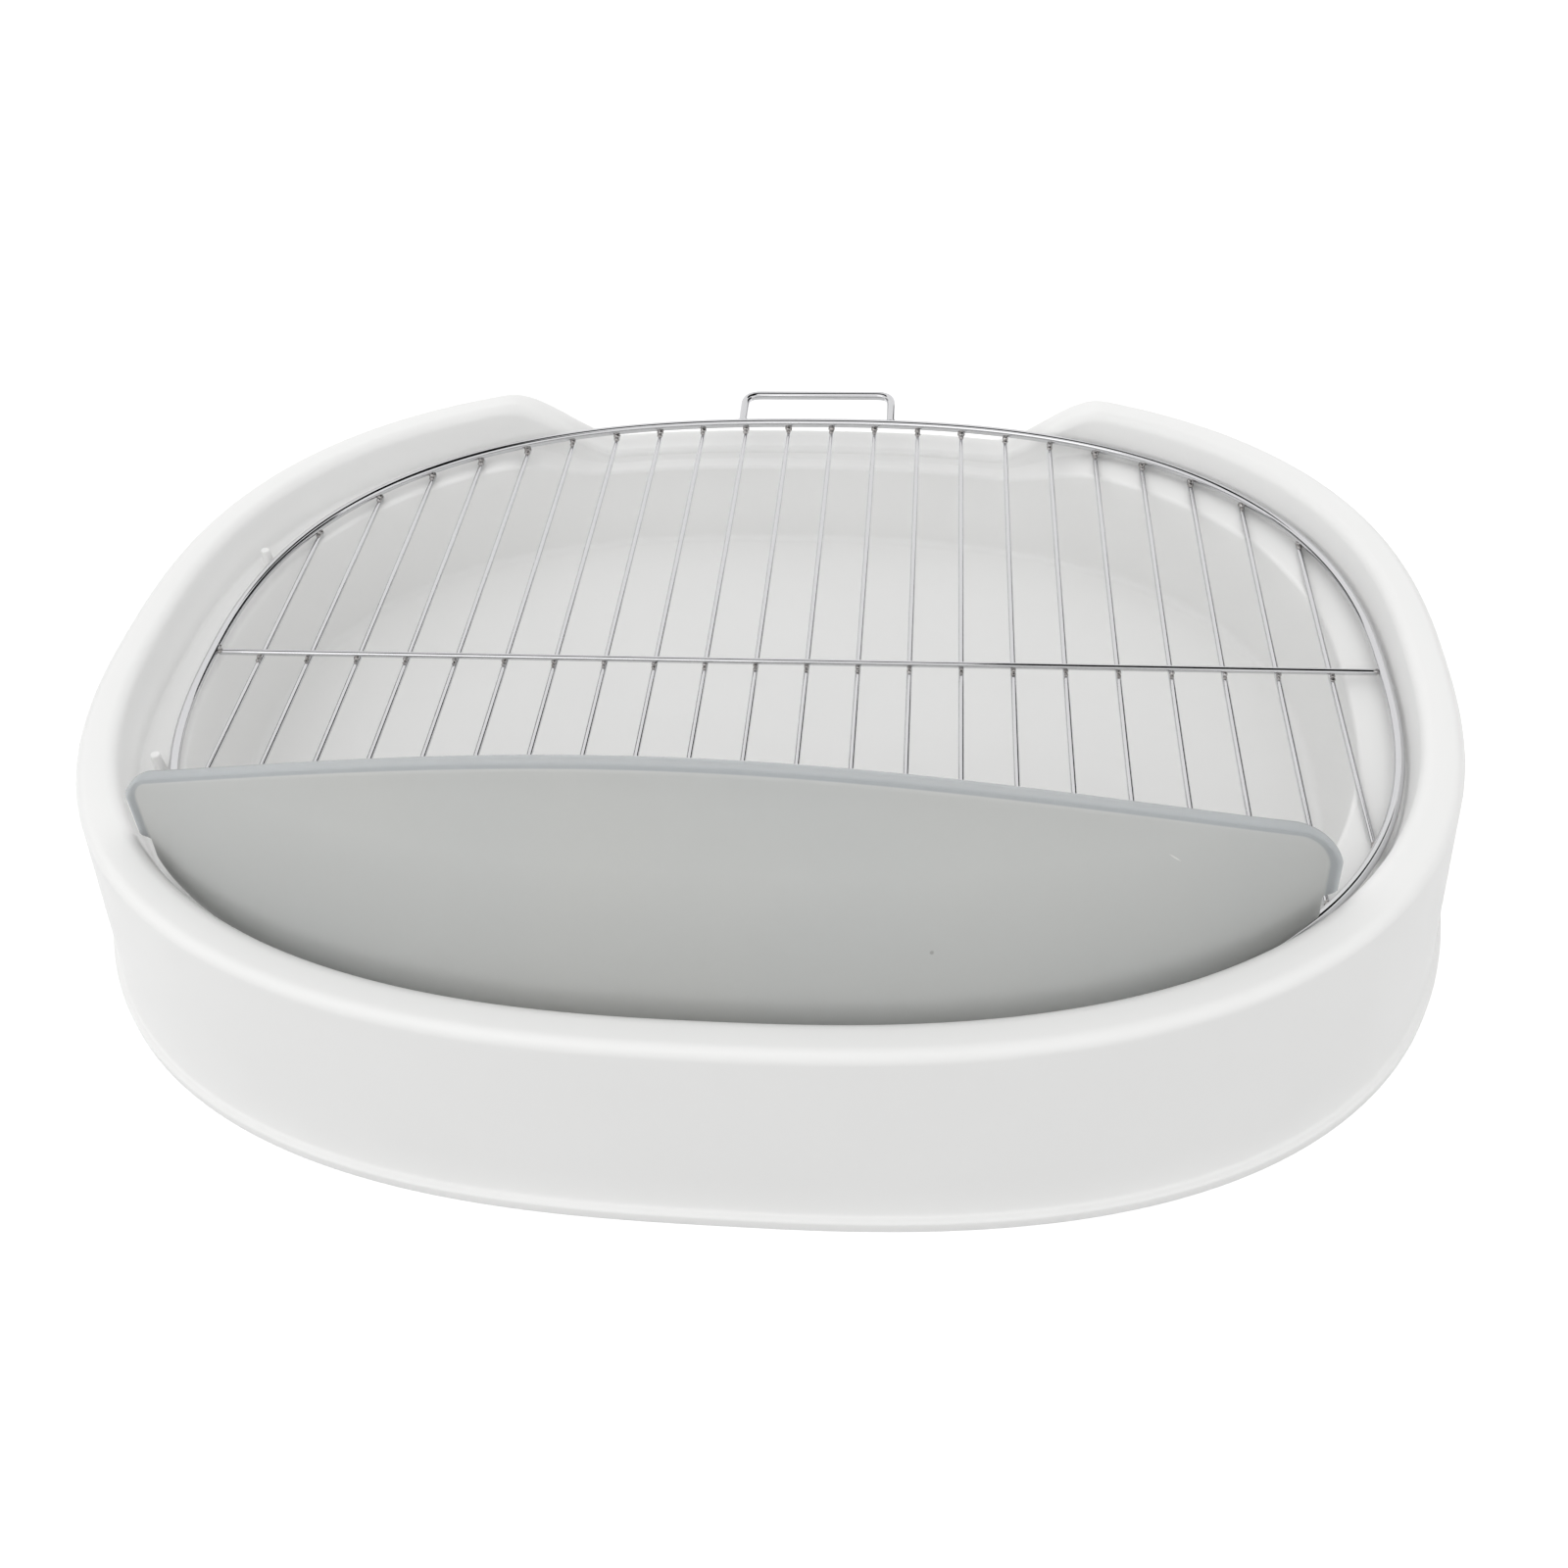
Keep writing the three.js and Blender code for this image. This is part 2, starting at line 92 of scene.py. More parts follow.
class TrayBasinSettings(bpy.types.PropertyGroup):
    """Sizes and colour of the moulded basin."""

    half_width: length("Half Width", "From the middle to the rim's outer edge, along the tray", 254)
    half_depth: length("Half Depth", "From the middle to the rim's outer edge, to the back", 197.5)
    height: length("Height", "Height of the rim's top", 82.6)
    oval_power: number("Oval Power", "2 is an ellipse, and more is squarer", 2.5)
    wall: length("Wall", "Thickness of the moulded wall", 2.8)
    rim_width: length("Rim Width", "Width of the flat rim with its rounded edges", 14.7)
    rim_round: length("Rim Round", "Radius of the rim's edges", 4.5)
    skirt_flare: length("Skirt Flare", "How far the skirt spreads from rim to foot", 5)
    skirt_power: number("Skirt Oval Power", "The oval's power at the foot of the skirt", 2.65)
    foot_width: length("Foot Width", "How far the foot flange stands out", 2.5)
    foot_height: length("Foot Height", "Height of the foot flange", 5.5)
    wall_setback: length("Wall Setback", "How far the inner wall leans in from rim to ledge", 2.1)
    ledge_drop: length("Ledge Drop", "From the rim's top down to the ledge", 19.1)
    ledge_width: length("Ledge Width", "Width of the ledge that carries the grate", 16.2)
    ledge_round: length("Ledge Round", "Radius of the ledge's inner edge", 2)
    sump_setback: length("Sump Setback", "How far the lower wall leans in from ledge to floor", 2.5)
    sump_fillet: length("Sump Fillet", "Radius between the lower wall and the floor", 4)
    floor_height: length("Floor Height", "Height of the floor's top", 14)
    entrance_half_width: length("Entrance Half Width", "Half the width of the low sill", 88)
    entrance_run: length("Entrance Run", "Length of the slope from the sill up to the full rim", 50)
    entrance_drop: length("Entrance Drop", "From the rim's top down to the sill", 28.6)
    sill_fall: length("Sill Fall", "How far the sill falls towards the inside", 2.5)
    sill_round: length("Sill Round", "Radius of the sill's inner edge", 2.8)
    sill_ledge_drop: length("Sill Ledge Drop", "From the sill's inner edge down to its ledge", 1.7)
    sill_ledge_width: length("Sill Ledge Width", "Width of the ledge inside the sill", 7.7)
    peg_place: length("Peg Place", "Place of the pegs along Y, to the back and to the front", 67)
    peg_wall_gap: length("Peg Wall Gap", "From the wall's foot to a peg's middle", 8)
    peg_rise: length("Peg Rise", "Height of a peg over the ledge", 8.5)
    peg_foot: length("Peg Foot", "Radius of a peg at its foot", 2.2)
    peg_top: length("Peg Top", "Radius of a peg at its top", 1.9)
    plastic: colour("Plastic", "White of the moulded polypropylene", "#f4f4f3")


class TrayGrateSettings(bpy.types.PropertyGroup):
    """Sizes and colour of the welded wire grate."""

    side_play: length("Side Play", "From the ring to the wall's foot, grate in the middle", 6.5)
    end_play: length("End Play", "The same at the front and the back", 1.1)
    oval_power: number("Oval Power", "2 is an ellipse, and more is squarer", 2.465)
    ring_wire: length("Ring Wire", "Diameter of the ring's wire", 4)
    bar_wire: length("Crossbar Wire", "Diameter of the crossbar's wire", 2.5)
    bar_offset: length("Crossbar Offset", "From the ring's middle to the crossbar", 3.7)
    thin_wire: length("Thin Wire", "Diameter of the thin wires", 2.2)
    pitch: length("Pitch", "From one thin wire to the next", 20)
    clearance: length("Clearance", "Gap that the solids keep between touching wires", 0.3)
    wall_gap: length("Wall Gap", "How close the grate lies to the right wall's foot", 0.5)
    turn: angle("Turn", "How far the grate lies askew", 0.69)
    handle_wire: length("Handle Wire", "Diameter of the handle's wire", 4)
    handle_half_width: length("Handle Half Width", "Half the width of the handle loop", 34.5)
    handle_offset: length("Handle Offset", "From the ring's middle to the handle's middle", 2.7)
    handle_reach: length("Handle Reach", "From the ring's wire to the loop's wire", 20.5)
    handle_rise: length("Handle Rise", "How far the loop rises to its end", 2.3)
    handle_bend: length("Handle Bend", "Size of the loop's two bends", 7)
    bead: length("Weld Bead", "Width of a weld bead", 2.3)
    steel: colour("Steel", "Bright drawn stainless steel", "#dcdcde")


class TrayGuardSettings(bpy.types.PropertyGroup):
    """Sizes and colour of the splash guard."""

    thickness: length("Thickness", "Thickness of the panel", 2.4)
    side_play: length("Side Play", "Narrower than the basin's inner wall at each side", 3)
    front_gap: length("Front Gap", "From the panel's foot to the front wall", 0.6)
    end_inset: length("End Inset", "The panel ends this far short of its oval's side", 37.2)
    height: length("Height", "Height in the middle", 81.4)
    end_height: length("End Height", "Height at the ends", 34.5)
    lean_depth: length("Lean", "The top lies this far behind the foot in the middle", 30.1)
    lean_power: number("Lean Power", "How late the lean fades", 2.74)
    arch_power: number("Arch Power", "How late the arch falls", 2.2)
    end_lean: number("End Lean", "The ends lean in by this share of their height", 0.06)
    left_corner: length("Left Corner", "Radius of the top corner at the left", 7)
    right_corner: length("Right Corner", "Radius of the top corner at the right", 12)
    lip_rise: length("Lip Rise", "How far the turned lip rises", 2.6)
    lip_depth: length("Lip Depth", "How far the turned lip reaches back", 5.7)
    lip_thickness: length("Lip Thickness", "Thickness of the lip's edge", 1.6)
    ear_width: length("Ear Width", "How far the ends' flat ears stand out", 6)
    ear_setback: length("Ear Setback", "How far the ears lie behind the face", 1.5)
    ear_foot: length("Ear Foot", "Height over the rim at which the ears end", -3)
    wall_gap: length("Wall Gap", "How close it stands to the left wall's foot", 0.4)
    turn: angle("Turn", "How far the guard stands askew", -0.95)
    plastic: colour("Plastic", "Frosted grey polypropylene", "#babab7")


class TrayStageSettings(bpy.types.PropertyGroup):
    """The photograph's camera, the floor and the light."""

    camera_place: bpy.props.FloatVectorProperty(
        name="Camera Place",
        description="Where the camera stands",
        default=(0.06787, -0.48846, 0.47427),
        subtype="TRANSLATION",
        unit="LENGTH",
    )
    azimuth: angle("Azimuth", "Camera's turn round the tray", 7.35)
    elevation: angle("Elevation", "Camera's tilt down", 43.615)
    roll: angle("Roll", "Camera's roll", -3.218)
    lens: number("Lens", "Focal length in millimetres", 37.63)
    floor: colour("Floor", "Pale floor paper", "#9c9c9c")
    low_light: number("Low Light", "Strength of the light from the tent's sides", 1.43)
    high_light: number("High Light", "Strength of the light from the tent's top", 0.94)
    side_tilt: number("Side Tilt", "How much stronger the tent's left is than its middle", 0.1)
    key_power: number("Key Power", "Power of the soft lamp at the left front", 1.4, unit="POWER")


class TrayFlagSettings(bpy.types.PropertyGroup):
    """The black flags beside and over the tray that give the bright wires their dark edges."""

    right_height: length("Right Height", "Height of the flag at the back right", 1150)
    left_height: length("Left Height", "Height of the flag at the back left", 600)
    over_height: length("Over Height", "Height of the flags over the tray", 1450)
    band_front: length("Band Front", "Front edge of the narrow flag over the tray", -50)
    band_back: length("Band Back", "Back edge of the narrow flag over the tray", 700)
    wide_left: length("Wide Left", "Left edge of the wide flag over the right side", 140)
    wide_front: length("Wide Front", "Front edge of the wide flag", -900)
    wide_back: length("Wide Back", "Back edge of the wide flag", 1300)


SETTINGS = {
    "tray_basin": TrayBasinSettings,
    "tray_grate": TrayGrateSettings,
    "tray_guard": TrayGuardSettings,
    "tray_stage": TrayStageSettings,
    "tray_flags": TrayFlagSettings,
}


# Nodes and materials


def node(tree, kind, links=None, **settings):
    """Add a node with its settings. Links give each input a value, an output, or another node.

    Another node stands for the first of its outputs that is in use.
    """
    made = tree.nodes.new(kind)
    for name, value in settings.items():
        setattr(made, name, value)
    for key, value in (links or {}).items():
        if isinstance(value, bpy.types.Node):
            value = next(output for output in value.outputs if output.enabled)
        if isinstance(value, bpy.types.NodeSocket):
            tree.links.new(value, made.inputs[key])
        else:
            made.inputs[key].default_value = value
    return made


def start_material(name):
    """Make an empty material, and return it with its tree and its texture coordinates."""
    material = bpy.data.materials.new(name)
    material.use_nodes = True
    tree = material.node_tree
    tree.nodes.clear()
    return material, tree, node(tree, "ShaderNodeTexCoord").outputs


def end_material(material, shader):
    node(material.node_tree, "ShaderNodeOutputMaterial", {"Surface": shader})
    return material


def mottled(tree, spot, scale, detail, base, shade):
    """Return a colour that drifts from base to shade in patches, about so many to a metre."""
    noise = node(tree, "ShaderNodeTexNoise", {"Vector": spot, "Scale": scale, "Detail": detail})
    tones = {0: noise, MIX_A: (*base, 1), MIX_B: (*shade, 1)}
    return node(tree, "ShaderNodeMix", tones, data_type="RGBA")


def rubbed(tree, spot, scale, detail, low, high):
    """Return a roughness that drifts between two values in patches."""
    noise = node(tree, "ShaderNodeTexNoise", {"Vector": spot, "Scale": scale, "Detail": detail})
    # A noise seldom leaves this range
    levels = {"Value": noise, "From Min": 0.3, "From Max": 0.7, "To Min": low, "To Max": high}
    return node(tree, "ShaderNodeMapRange", levels)


def grained(tree, spot, scale, detail, strength, depth, under=None):
    """Return a normal with bumps of a depth in millimetres, over another normal if one is given."""
    noise = node(tree, "ShaderNodeTexNoise", {"Vector": spot, "Scale": scale, "Detail": detail})
    bumps = {"Height": noise, "Strength": strength, "Distance": depth * MM}
    if under:
        bumps["Normal"] = under
    return node(tree, "ShaderNodeBump", bumps)


def milky_polypropylene(tree, tone, gloss, skin, seep, depth):
    """Return a polypropylene shader. A share of the light seeps in, to a depth in millimetres."""
    links = {
        "Base Color": tone,
        "Roughness": gloss,
        "IOR": 1.49,
        "Subsurface Weight": seep,
        "Subsurface Radius": (1.0, 1.0, 1.0),
        "Subsurface Scale": depth * MM,
        "Normal": skin,
    }
    return node(tree, "ShaderNodeBsdfPrincipled", links)


def moulded_polypropylene(base):
    """Injection-moulded white polypropylene: satin, with a faintly uneven skin.

    The mould leaves a very fine grain that spreads highlights, long flow waves that bend them
    slightly, and use adds a few faint rubbed patches that are a little glossier. The wall is thin
    and milky, so light from outside seeps in and softens the shade inside.
    """
    material, tree, place = start_material("moulded_polypropylene")
    spot = place["Object"]
    # Cloudy patches of about 90 mm, hardly darker than the rest, and rubbed patches of about 30 mm
    tone = mottled(tree, spot, 11.0, 3.0, base, [c * 0.955 for c in base])
    gloss = rubbed(tree, spot, 33.0, 4.0, 0.36, 0.46)
    # Flow waves of 40 mm, and mould grain of 0.7 mm, drawn coarser than the real one to show
    waves = grained(tree, spot, 25.0, 1.0, 0.35, 0.35)
    skin = grained(tree, spot, 1400.0, 2.0, 0.2, 0.03, under=waves)
    return end_material(material, milky_polypropylene(tree, tone, gloss, skin, 0.1, 1.5))


# Marks on the guard: middle in mm, turn, reach in mm, and how light they are against the plastic
GATE_DIMPLE = ((68.1, -167.2, 97.7), 0, (0.8, 3, 0.8), 0.6)
SCRATCH = ((139.3, -142.8, 117.0), 0.7, (2.9, 3, 0.25), 1.3)

# Painted shade along the bend and edge of the guard's lip, and a painted cool tint for the light
# that passes through the lip, by the share of the way from the face to the lip's edge
LIP_PAINTED_SHADES = (
    (0.0, (1.0, 1.0, 1.0)),
    (0.04, (1.0, 1.0, 1.0)),
    (0.12, (0.72, 0.745, 0.78)),
    (0.34, (0.72, 0.745, 0.78)),
    (0.44, (0.81, 0.84, 0.88)),
    (0.8, (0.79, 0.82, 0.86)),
    (0.9, (0.66, 0.68, 0.71)),
    (0.96, (0.38, 0.39, 0.41)),
)


def mark_share(tree, spot, middle, turn, reach):
    """Return how far a small oval mark on the panel covers a spot, from 0 to 1. Sizes in mm."""
    oval_space = {
        "Vector": spot,
        "Location": [c * MM for c in middle],
        "Rotation": (0, turn, 0),
        "Scale": [c * MM for c in reach],
    }
    local = node(tree, "ShaderNodeMapping", oval_space, vector_type="TEXTURE")
    away = node(tree, "ShaderNodeVectorMath", {0: local}, operation="LENGTH")
    # The mark is whole inside half its reach, and fades from there
    fade = {"Value": away, "From Min": 0.5, "From Max": 1.0, "To Min": 1.0, "To Max": 0.0}
    return node(tree, "ShaderNodeMapRange", fade)


def frosted_polypropylene(base):
    """Moulded grey polypropylene with an etched, frosted face.

    The etched mould leaves an even matte that carries only broad, weak highlights. Light spreads
    inside the thin panel, which softens the shade at its foot. The colour also holds painted shade
    that darkens the panel towards its foot, and on the turned lip a painted cool tint for the light
    that passes through it, with painted shade along its bend and edge. The attribute lip_share
    runs from 0 on the face to 1 at the lip's edge.
    """
    material, tree, place = start_material("frosted_polypropylene")
    spot = place["Object"]
    # Cloudy patches of about 110 mm, a little cooler and darker than the rest
    cool = [base[0] * 0.93, base[1] * 0.955, base[2] * 0.985]
    tone = mottled(tree, spot, 9.0, 2.0, base, cool)
    # Painted shade: the panel darkens towards its foot, where less light leaks through with the
    # tray behind it
    height = node(tree, "ShaderNodeSeparateXYZ", {0: spot}).outputs["Z"]
    foot, clear = 80 * MM, 122 * MM
    fall = {"Value": height, "From Min": foot, "From Max": clear, "To Min": 0.83, "To Max": 1.03}
    painted_foot_shade = node(tree, "ShaderNodeMapRange", fall)
    # Painted shade at the lip's bend and edge, and a painted cool tint on the lip, by lip_share
    across = node(
        tree, "ShaderNodeAttribute", attribute_name="lip_share", attribute_type="GEOMETRY"
    )
    lip = node(tree, "ShaderNodeValToRGB", {"Fac": across.outputs["Fac"]})
    while len(lip.color_ramp.elements) < len(LIP_PAINTED_SHADES):
        lip.color_ramp.elements.new(0.5)
    for stop, (share, painted_lip_tone) in zip(lip.color_ramp.elements, LIP_PAINTED_SHADES):
        stop.position, stop.color = share, (*painted_lip_tone, 1)
    # The painted foot shade and the painted lip shade both darken the colour
    for shade in (painted_foot_shade, lip):
        layers = {0: 1.0, MIX_A: tone, MIX_B: shade}
        tone = node(tree, "ShaderNodeMix", layers, data_type="RGBA", blend_type="MULTIPLY")
    for middle, turn, reach, lightness in (GATE_DIMPLE, SCRATCH):
        mark = (*(min(1, c * lightness) for c in base), 1)
        layers = {0: mark_share(tree, spot, middle, turn, reach), MIX_A: tone, MIX_B: mark}
        tone = node(tree, "ShaderNodeMix", layers, data_type="RGBA")
    # Rubbed patches of about 22 mm, and etched grain of 0.5 mm, drawn coarser than the real one
    gloss = rubbed(tree, spot, 45.0, 4.0, 0.46, 0.54)
    frost = grained(tree, spot, 2000.0, 2.0, 0.3, 0.03)
    return end_material(material, milky_polypropylene(tree, tone, gloss, frost, 0.9, 8))


def drawn_stainless_wire(base):
    """Bright stainless steel wire, as it leaves the drawing die.

    The die leaves hairlines along the wire. The piece's UV map holds metres along the wire and
    round it, so that the hairlines follow the bends.
    """
    material, tree, place = start_material("drawn_stainless_wire")
    # Hairlines 0.15 mm wide and 25 mm long
    hairs = node(tree, "ShaderNodeMapping", {"Vector": place["UV"], "Scale": (40.0, 6600.0, 1.0)})
    links = {
        "Base Color": mottled(tree, hairs, 1.0, 3.0, base, [c * 0.86 for c in base]),
        "Metallic": 1.0,
        # Duller patches of about 17 mm
        "Roughness": rubbed(tree, place["Object"], 60.0, 2.0, 0.06, 0.12),
        "Normal": grained(tree, hairs, 1.0, 3.0, 0.12, 0.02),
    }
    return end_material(material, node(tree, "ShaderNodeBsdfPrincipled", links))


def welded_stainless(base):
    """Fused stainless steel at a spot weld: rippled, duller than the wire, with a straw tint."""
    material, tree, place = start_material("welded_stainless")
    fused = [c * 0.85 for c in base]
    straw = [base[0] * 0.34, base[1] * 0.3, base[2] * 0.26]
    links = {
        # Tint patches of about 1.5 mm, and ripples of 0.7 mm
        "Base Color": mottled(tree, place["Object"], 650.0, 2.0, fused, straw),
        "Metallic": 1.0,
        "Roughness": 0.2,
        "Normal": grained(tree, place["Object"], 1500.0, 2.0, 0.7, 0.12),
    }
    return end_material(material, node(tree, "ShaderNodeBsdfPrincipled", links))


def seen_directly(tree):
    """Return 1 for rays from the camera, metal and glass, and 0 for those that light a surface."""
    rays = node(tree, "ShaderNodeLightPath").outputs
    links = {0: rays["Is Camera Ray"], 1: rays["Is Glossy Ray"]}
    seen = node(tree, "ShaderNodeMath", links, operation="MAXIMUM")
    links = {0: seen, 1: rays["Is Transmission Ray"]}
    return node(tree, "ShaderNodeMath", links, operation="MAXIMUM")


def floor_paper(base):
    """Matte white paper. What the camera, metal and glass see of it is white, but for shadows."""
    material, tree, place = start_material("floor_paper")
    # Paper fibres of about 1.4 mm, drawn coarser than real ones
    felt = grained(tree, place["Object"], 700.0, 2.0, 0.1, 0.05)
    links = {"Base Color": (*base, 1), "Roughness": 0.9, "Normal": felt}
    paper = node(tree, "ShaderNodeBsdfPrincipled", links)
    # What the lit paper lacks to white
    glow = node(tree, "ShaderNodeEmission", {"Color": WHITE, "Strength": 0.85})
    lit = node(tree, "ShaderNodeAddShader", {0: paper, 1: glow})
    mixed = node(tree, "ShaderNodeMixShader", {0: seen_directly(tree), 1: paper, 2: lit})
    return end_material(material, mixed)


# Shapes


def signed_power(value, power):
    return np.sign(value) * np.abs(value) ** power


def oval(half_width, half_depth, power, count):
    """Return so many points of an oval, counter-clockwise from +X."""
    angles = np.linspace(0, FULL_TURN, count, endpoint=False)
    x = half_width * signed_power(np.cos(angles), 2 / power)
    y = half_depth * signed_power(np.sin(angles), 2 / power)
    return np.stack([x, y], axis=1)


def oval_reach(half_width, half_depth, power, x):
    """Return the oval's half depth at a place along X."""
    return half_depth * (1 - np.abs(x / half_width) ** power) ** (1 / power)


def between(first, last, shares):
    """Return what lies at some shares of the way from the first to the last."""
    return [first + (last - first) * share for share in shares]


def quarter_round(first, last, corner, count):
    """Return rings that lead from the first to the last along a quarter round inside the corner."""
    to_first, to_last = first - corner, last - corner
    return [
        corner + to_first * (1 - math.sin(turn)) + to_last * (1 - math.cos(turn))
        for turn in np.linspace(0, math.pi / 2, count)
    ]


def soft_edge(first, edge, last, before, after, count):
    """Return rings round an edge, from a share of the way to it to a share of the way past it."""
    start, end = first + (edge - first) * before, edge + (last - edge) * after
    return quarter_round(start, end, edge, count)


def skin_faces(count, sides, closed=False):
    """Return the faces between rings of points, and from the last to the first if closed."""
    faces = []
    for i in range(count if closed else count - 1):
        here, there = i * sides, (i + 1) % count * sides
        for k in range(sides):
            m = (k + 1) % sides
            faces.append((here + k, here + m, there + m, there + k))
    return faces


def linked(name, data):
    """Make an object at the origin and link it to the scene."""
    made = bpy.data.objects.new(name, data)
    bpy.context.scene.collection.objects.link(made)
    return made


def new_object(name, points, faces, sharp=None):
    """Make a smooth mesh object at the origin. Edges sharper than the given angle stay sharp."""
    mesh = bpy.data.meshes.new(name)
    mesh.from_pydata([tuple(point) for point in points], [], faces)
    mesh.validate()
    mesh.polygons.foreach_set("use_smooth", [True] * len(mesh.polygons))
    if sharp:
        mesh.set_sharp_from_angle(angle=sharp)
    return linked(name, mesh)


def finish_piece(piece, material, body, replaced):
    """Give a piece its material, its body and the CAD nodes that it stands for."""
    piece.data.materials.clear()
    piece.data.materials.append(material)
    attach(piece, body)
    if replaced:
        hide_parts(*replaced)


def placed(points, shift, turn):
    """Return points turned about the tray's middle and then shifted along X."""
    points = np.asarray(points, dtype=float)
    c, s = math.cos(turn), math.sin(turn)
    x = points[:, 0] * c - points[:, 1] * s + shift
    y = points[:, 0] * s + points[:, 1] * c
    return np.column_stack([x, y, points[:, 2]])


def wire_object(name, path, radius, sides, closed=False):
    """Make a round wire along a path. The radius is one value, or one for each point of the path.

    The UV map holds metres along the wire and round it.
    """
    count = len(path)
    radii = np.broadcast_to(radius, count)
    if closed:
        tangents = np.roll(path, -1, axis=0) - np.roll(path, 1, axis=0)
    else:
        tangents = np.gradient(path, axis=0)
    across = np.cross(tangents, (0, 0, 1))
    across /= np.linalg.norm(across, axis=1)[:, None]
    up = np.cross(across, tangents)
    up /= np.linalg.norm(up, axis=1)[:, None]
    angles = np.linspace(0, FULL_TURN, sides, endpoint=False)
    points = []
    for i in range(count):
        ring = across[i] * np.cos(angles)[:, None] + up[i] * np.sin(angles)[:, None]
        points.extend(path[i] + ring * radii[i])
    steps = np.linalg.norm(np.diff(path, axis=0, append=path[:1]), axis=1)
    along = np.concatenate([[0], np.cumsum(steps)])
    side = FULL_TURN * float(np.mean(radii)) / sides
    faces = skin_faces(count, sides, closed)
    uvs = []
    for i in range(len(faces) // sides):
        near, far = along[i], along[i + 1]
        for k in range(sides):
            low, high = side * k, side * (k + 1)
            uvs.extend([(near, low), (near, high), (far, high), (far, low)])
    if not closed:
        last = (count - 1) * sides
        faces += [tuple(range(sides))[::-1], tuple(range(last, last + sides))]
        uvs.extend((end, side * k) for end in along[[0, count - 1]] for k in range(sides))
    made = new_object(name, points, faces, sharp=math.radians(50))
    layer = made.data.uv_layers.new(name="UVMap")
    layer.data.foreach_set("uv", np.array(uvs, dtype=float).ravel())
    return made


class TrayPlan:
    """Places that follow from the settings of the basin and the grate."""

    def __init__(self, scene):
        basin, grate = scene.tray_basin, scene.tray_grate
        self.wall_foot = basin.rim_width + basin.wall_setback
        self.ledge_inset = self.wall_foot + basin.ledge_width
        self.ledge_height = basin.height - basin.ledge_drop
        self.sill_height = basin.height - basin.entrance_drop
        self.sill_inner = self.sill_height - basin.sill_fall
        self.sill_ledge = self.sill_inner - basin.sill_round - basin.sill_ledge_drop
        ring_radius = grate.ring_wire / 2
        self.ring_half_width = basin.half_width - self.wall_foot - grate.side_play - ring_radius
        self.ring_half_depth = basin.half_depth - self.wall_foot - grate.end_play - ring_radius
        self.thin_height = self.ledge_height + grate.clearance + grate.thin_wire / 2
        self.on_thin = self.thin_height + grate.thin_wire / 2 + grate.clearance
        self.ring_height = self.on_thin + ring_radius
        self.bar_height = self.on_thin + grate.bar_wire / 2
        self.guard_base = self.ring_height + ring_radius + grate.clearance
        self.thin_count = int(2 * self.ring_half_width / grate.pitch)
        self.grate_shift = grate.side_play - grate.wall_gap
        self.ring_power = grate.oval_power

    def ring_back(self, x):
        """Return how far behind the middle the ring's wire lies at a place along X."""
        return oval_reach(self.ring_half_width, self.ring_half_depth, self.ring_power, x)

    def ring_side(self, y):
        """Return how far to the side of the middle it lies at a place along Y."""
        return oval_reach(self.ring_half_depth, self.ring_half_width, self.ring_power, y)


# Geometry Nodes


def new_tree(name, **inputs):
    """Start a geometry tree with named inputs of each kind, and return it with their outputs."""
    tree = bpy.data.node_groups.new(name, "GeometryNodeTree")
    sockets = [("INPUT", kind, label) for kind, labels in inputs.items() for label in labels]
    sockets += [("INPUT", "Material", "Material"), ("OUTPUT", "Geometry", "Geometry")]
    for side, kind, label in sockets:
        tree.interface.new_socket(name=label, in_out=side, socket_type="NodeSocket" + kind)
    return tree, node(tree, "NodeGroupInput").outputs


def end_tree(tree, given, geometry):
    """End a tree in Realize Instances and Set Material, and return it."""
    real = node(tree, "GeometryNodeRealizeInstances", {"Geometry": geometry})
    links = {"Geometry": real, "Material": given["Material"]}
    painted = node(tree, "GeometryNodeSetMaterial", links)
    node(tree, "NodeGroupOutput", {"Geometry": painted})
    return tree


def grown(name, start, tree, values):
    """Run a tree on an object with a start mesh, and leave its result there as a plain mesh."""
    made = linked(name, start)
    modifier = made.modifiers.new("Grown", "NODES")
    modifier.node_group = tree
    for socket in tree.interface.items_tree:
        if socket.in_out == "INPUT" and socket.name in values:
            modifier[socket.identifier] = values[socket.name]
    shown = bpy.context.evaluated_depsgraph_get()
    mesh = bpy.data.meshes.new_from_object(made.evaluated_get(shown), depsgraph=shown)
    if not mesh.polygons:
        raise RuntimeError(name + " came out empty")
    made.modifiers.remove(modifier)
    made.data = mesh
    mesh.name = name
    return made


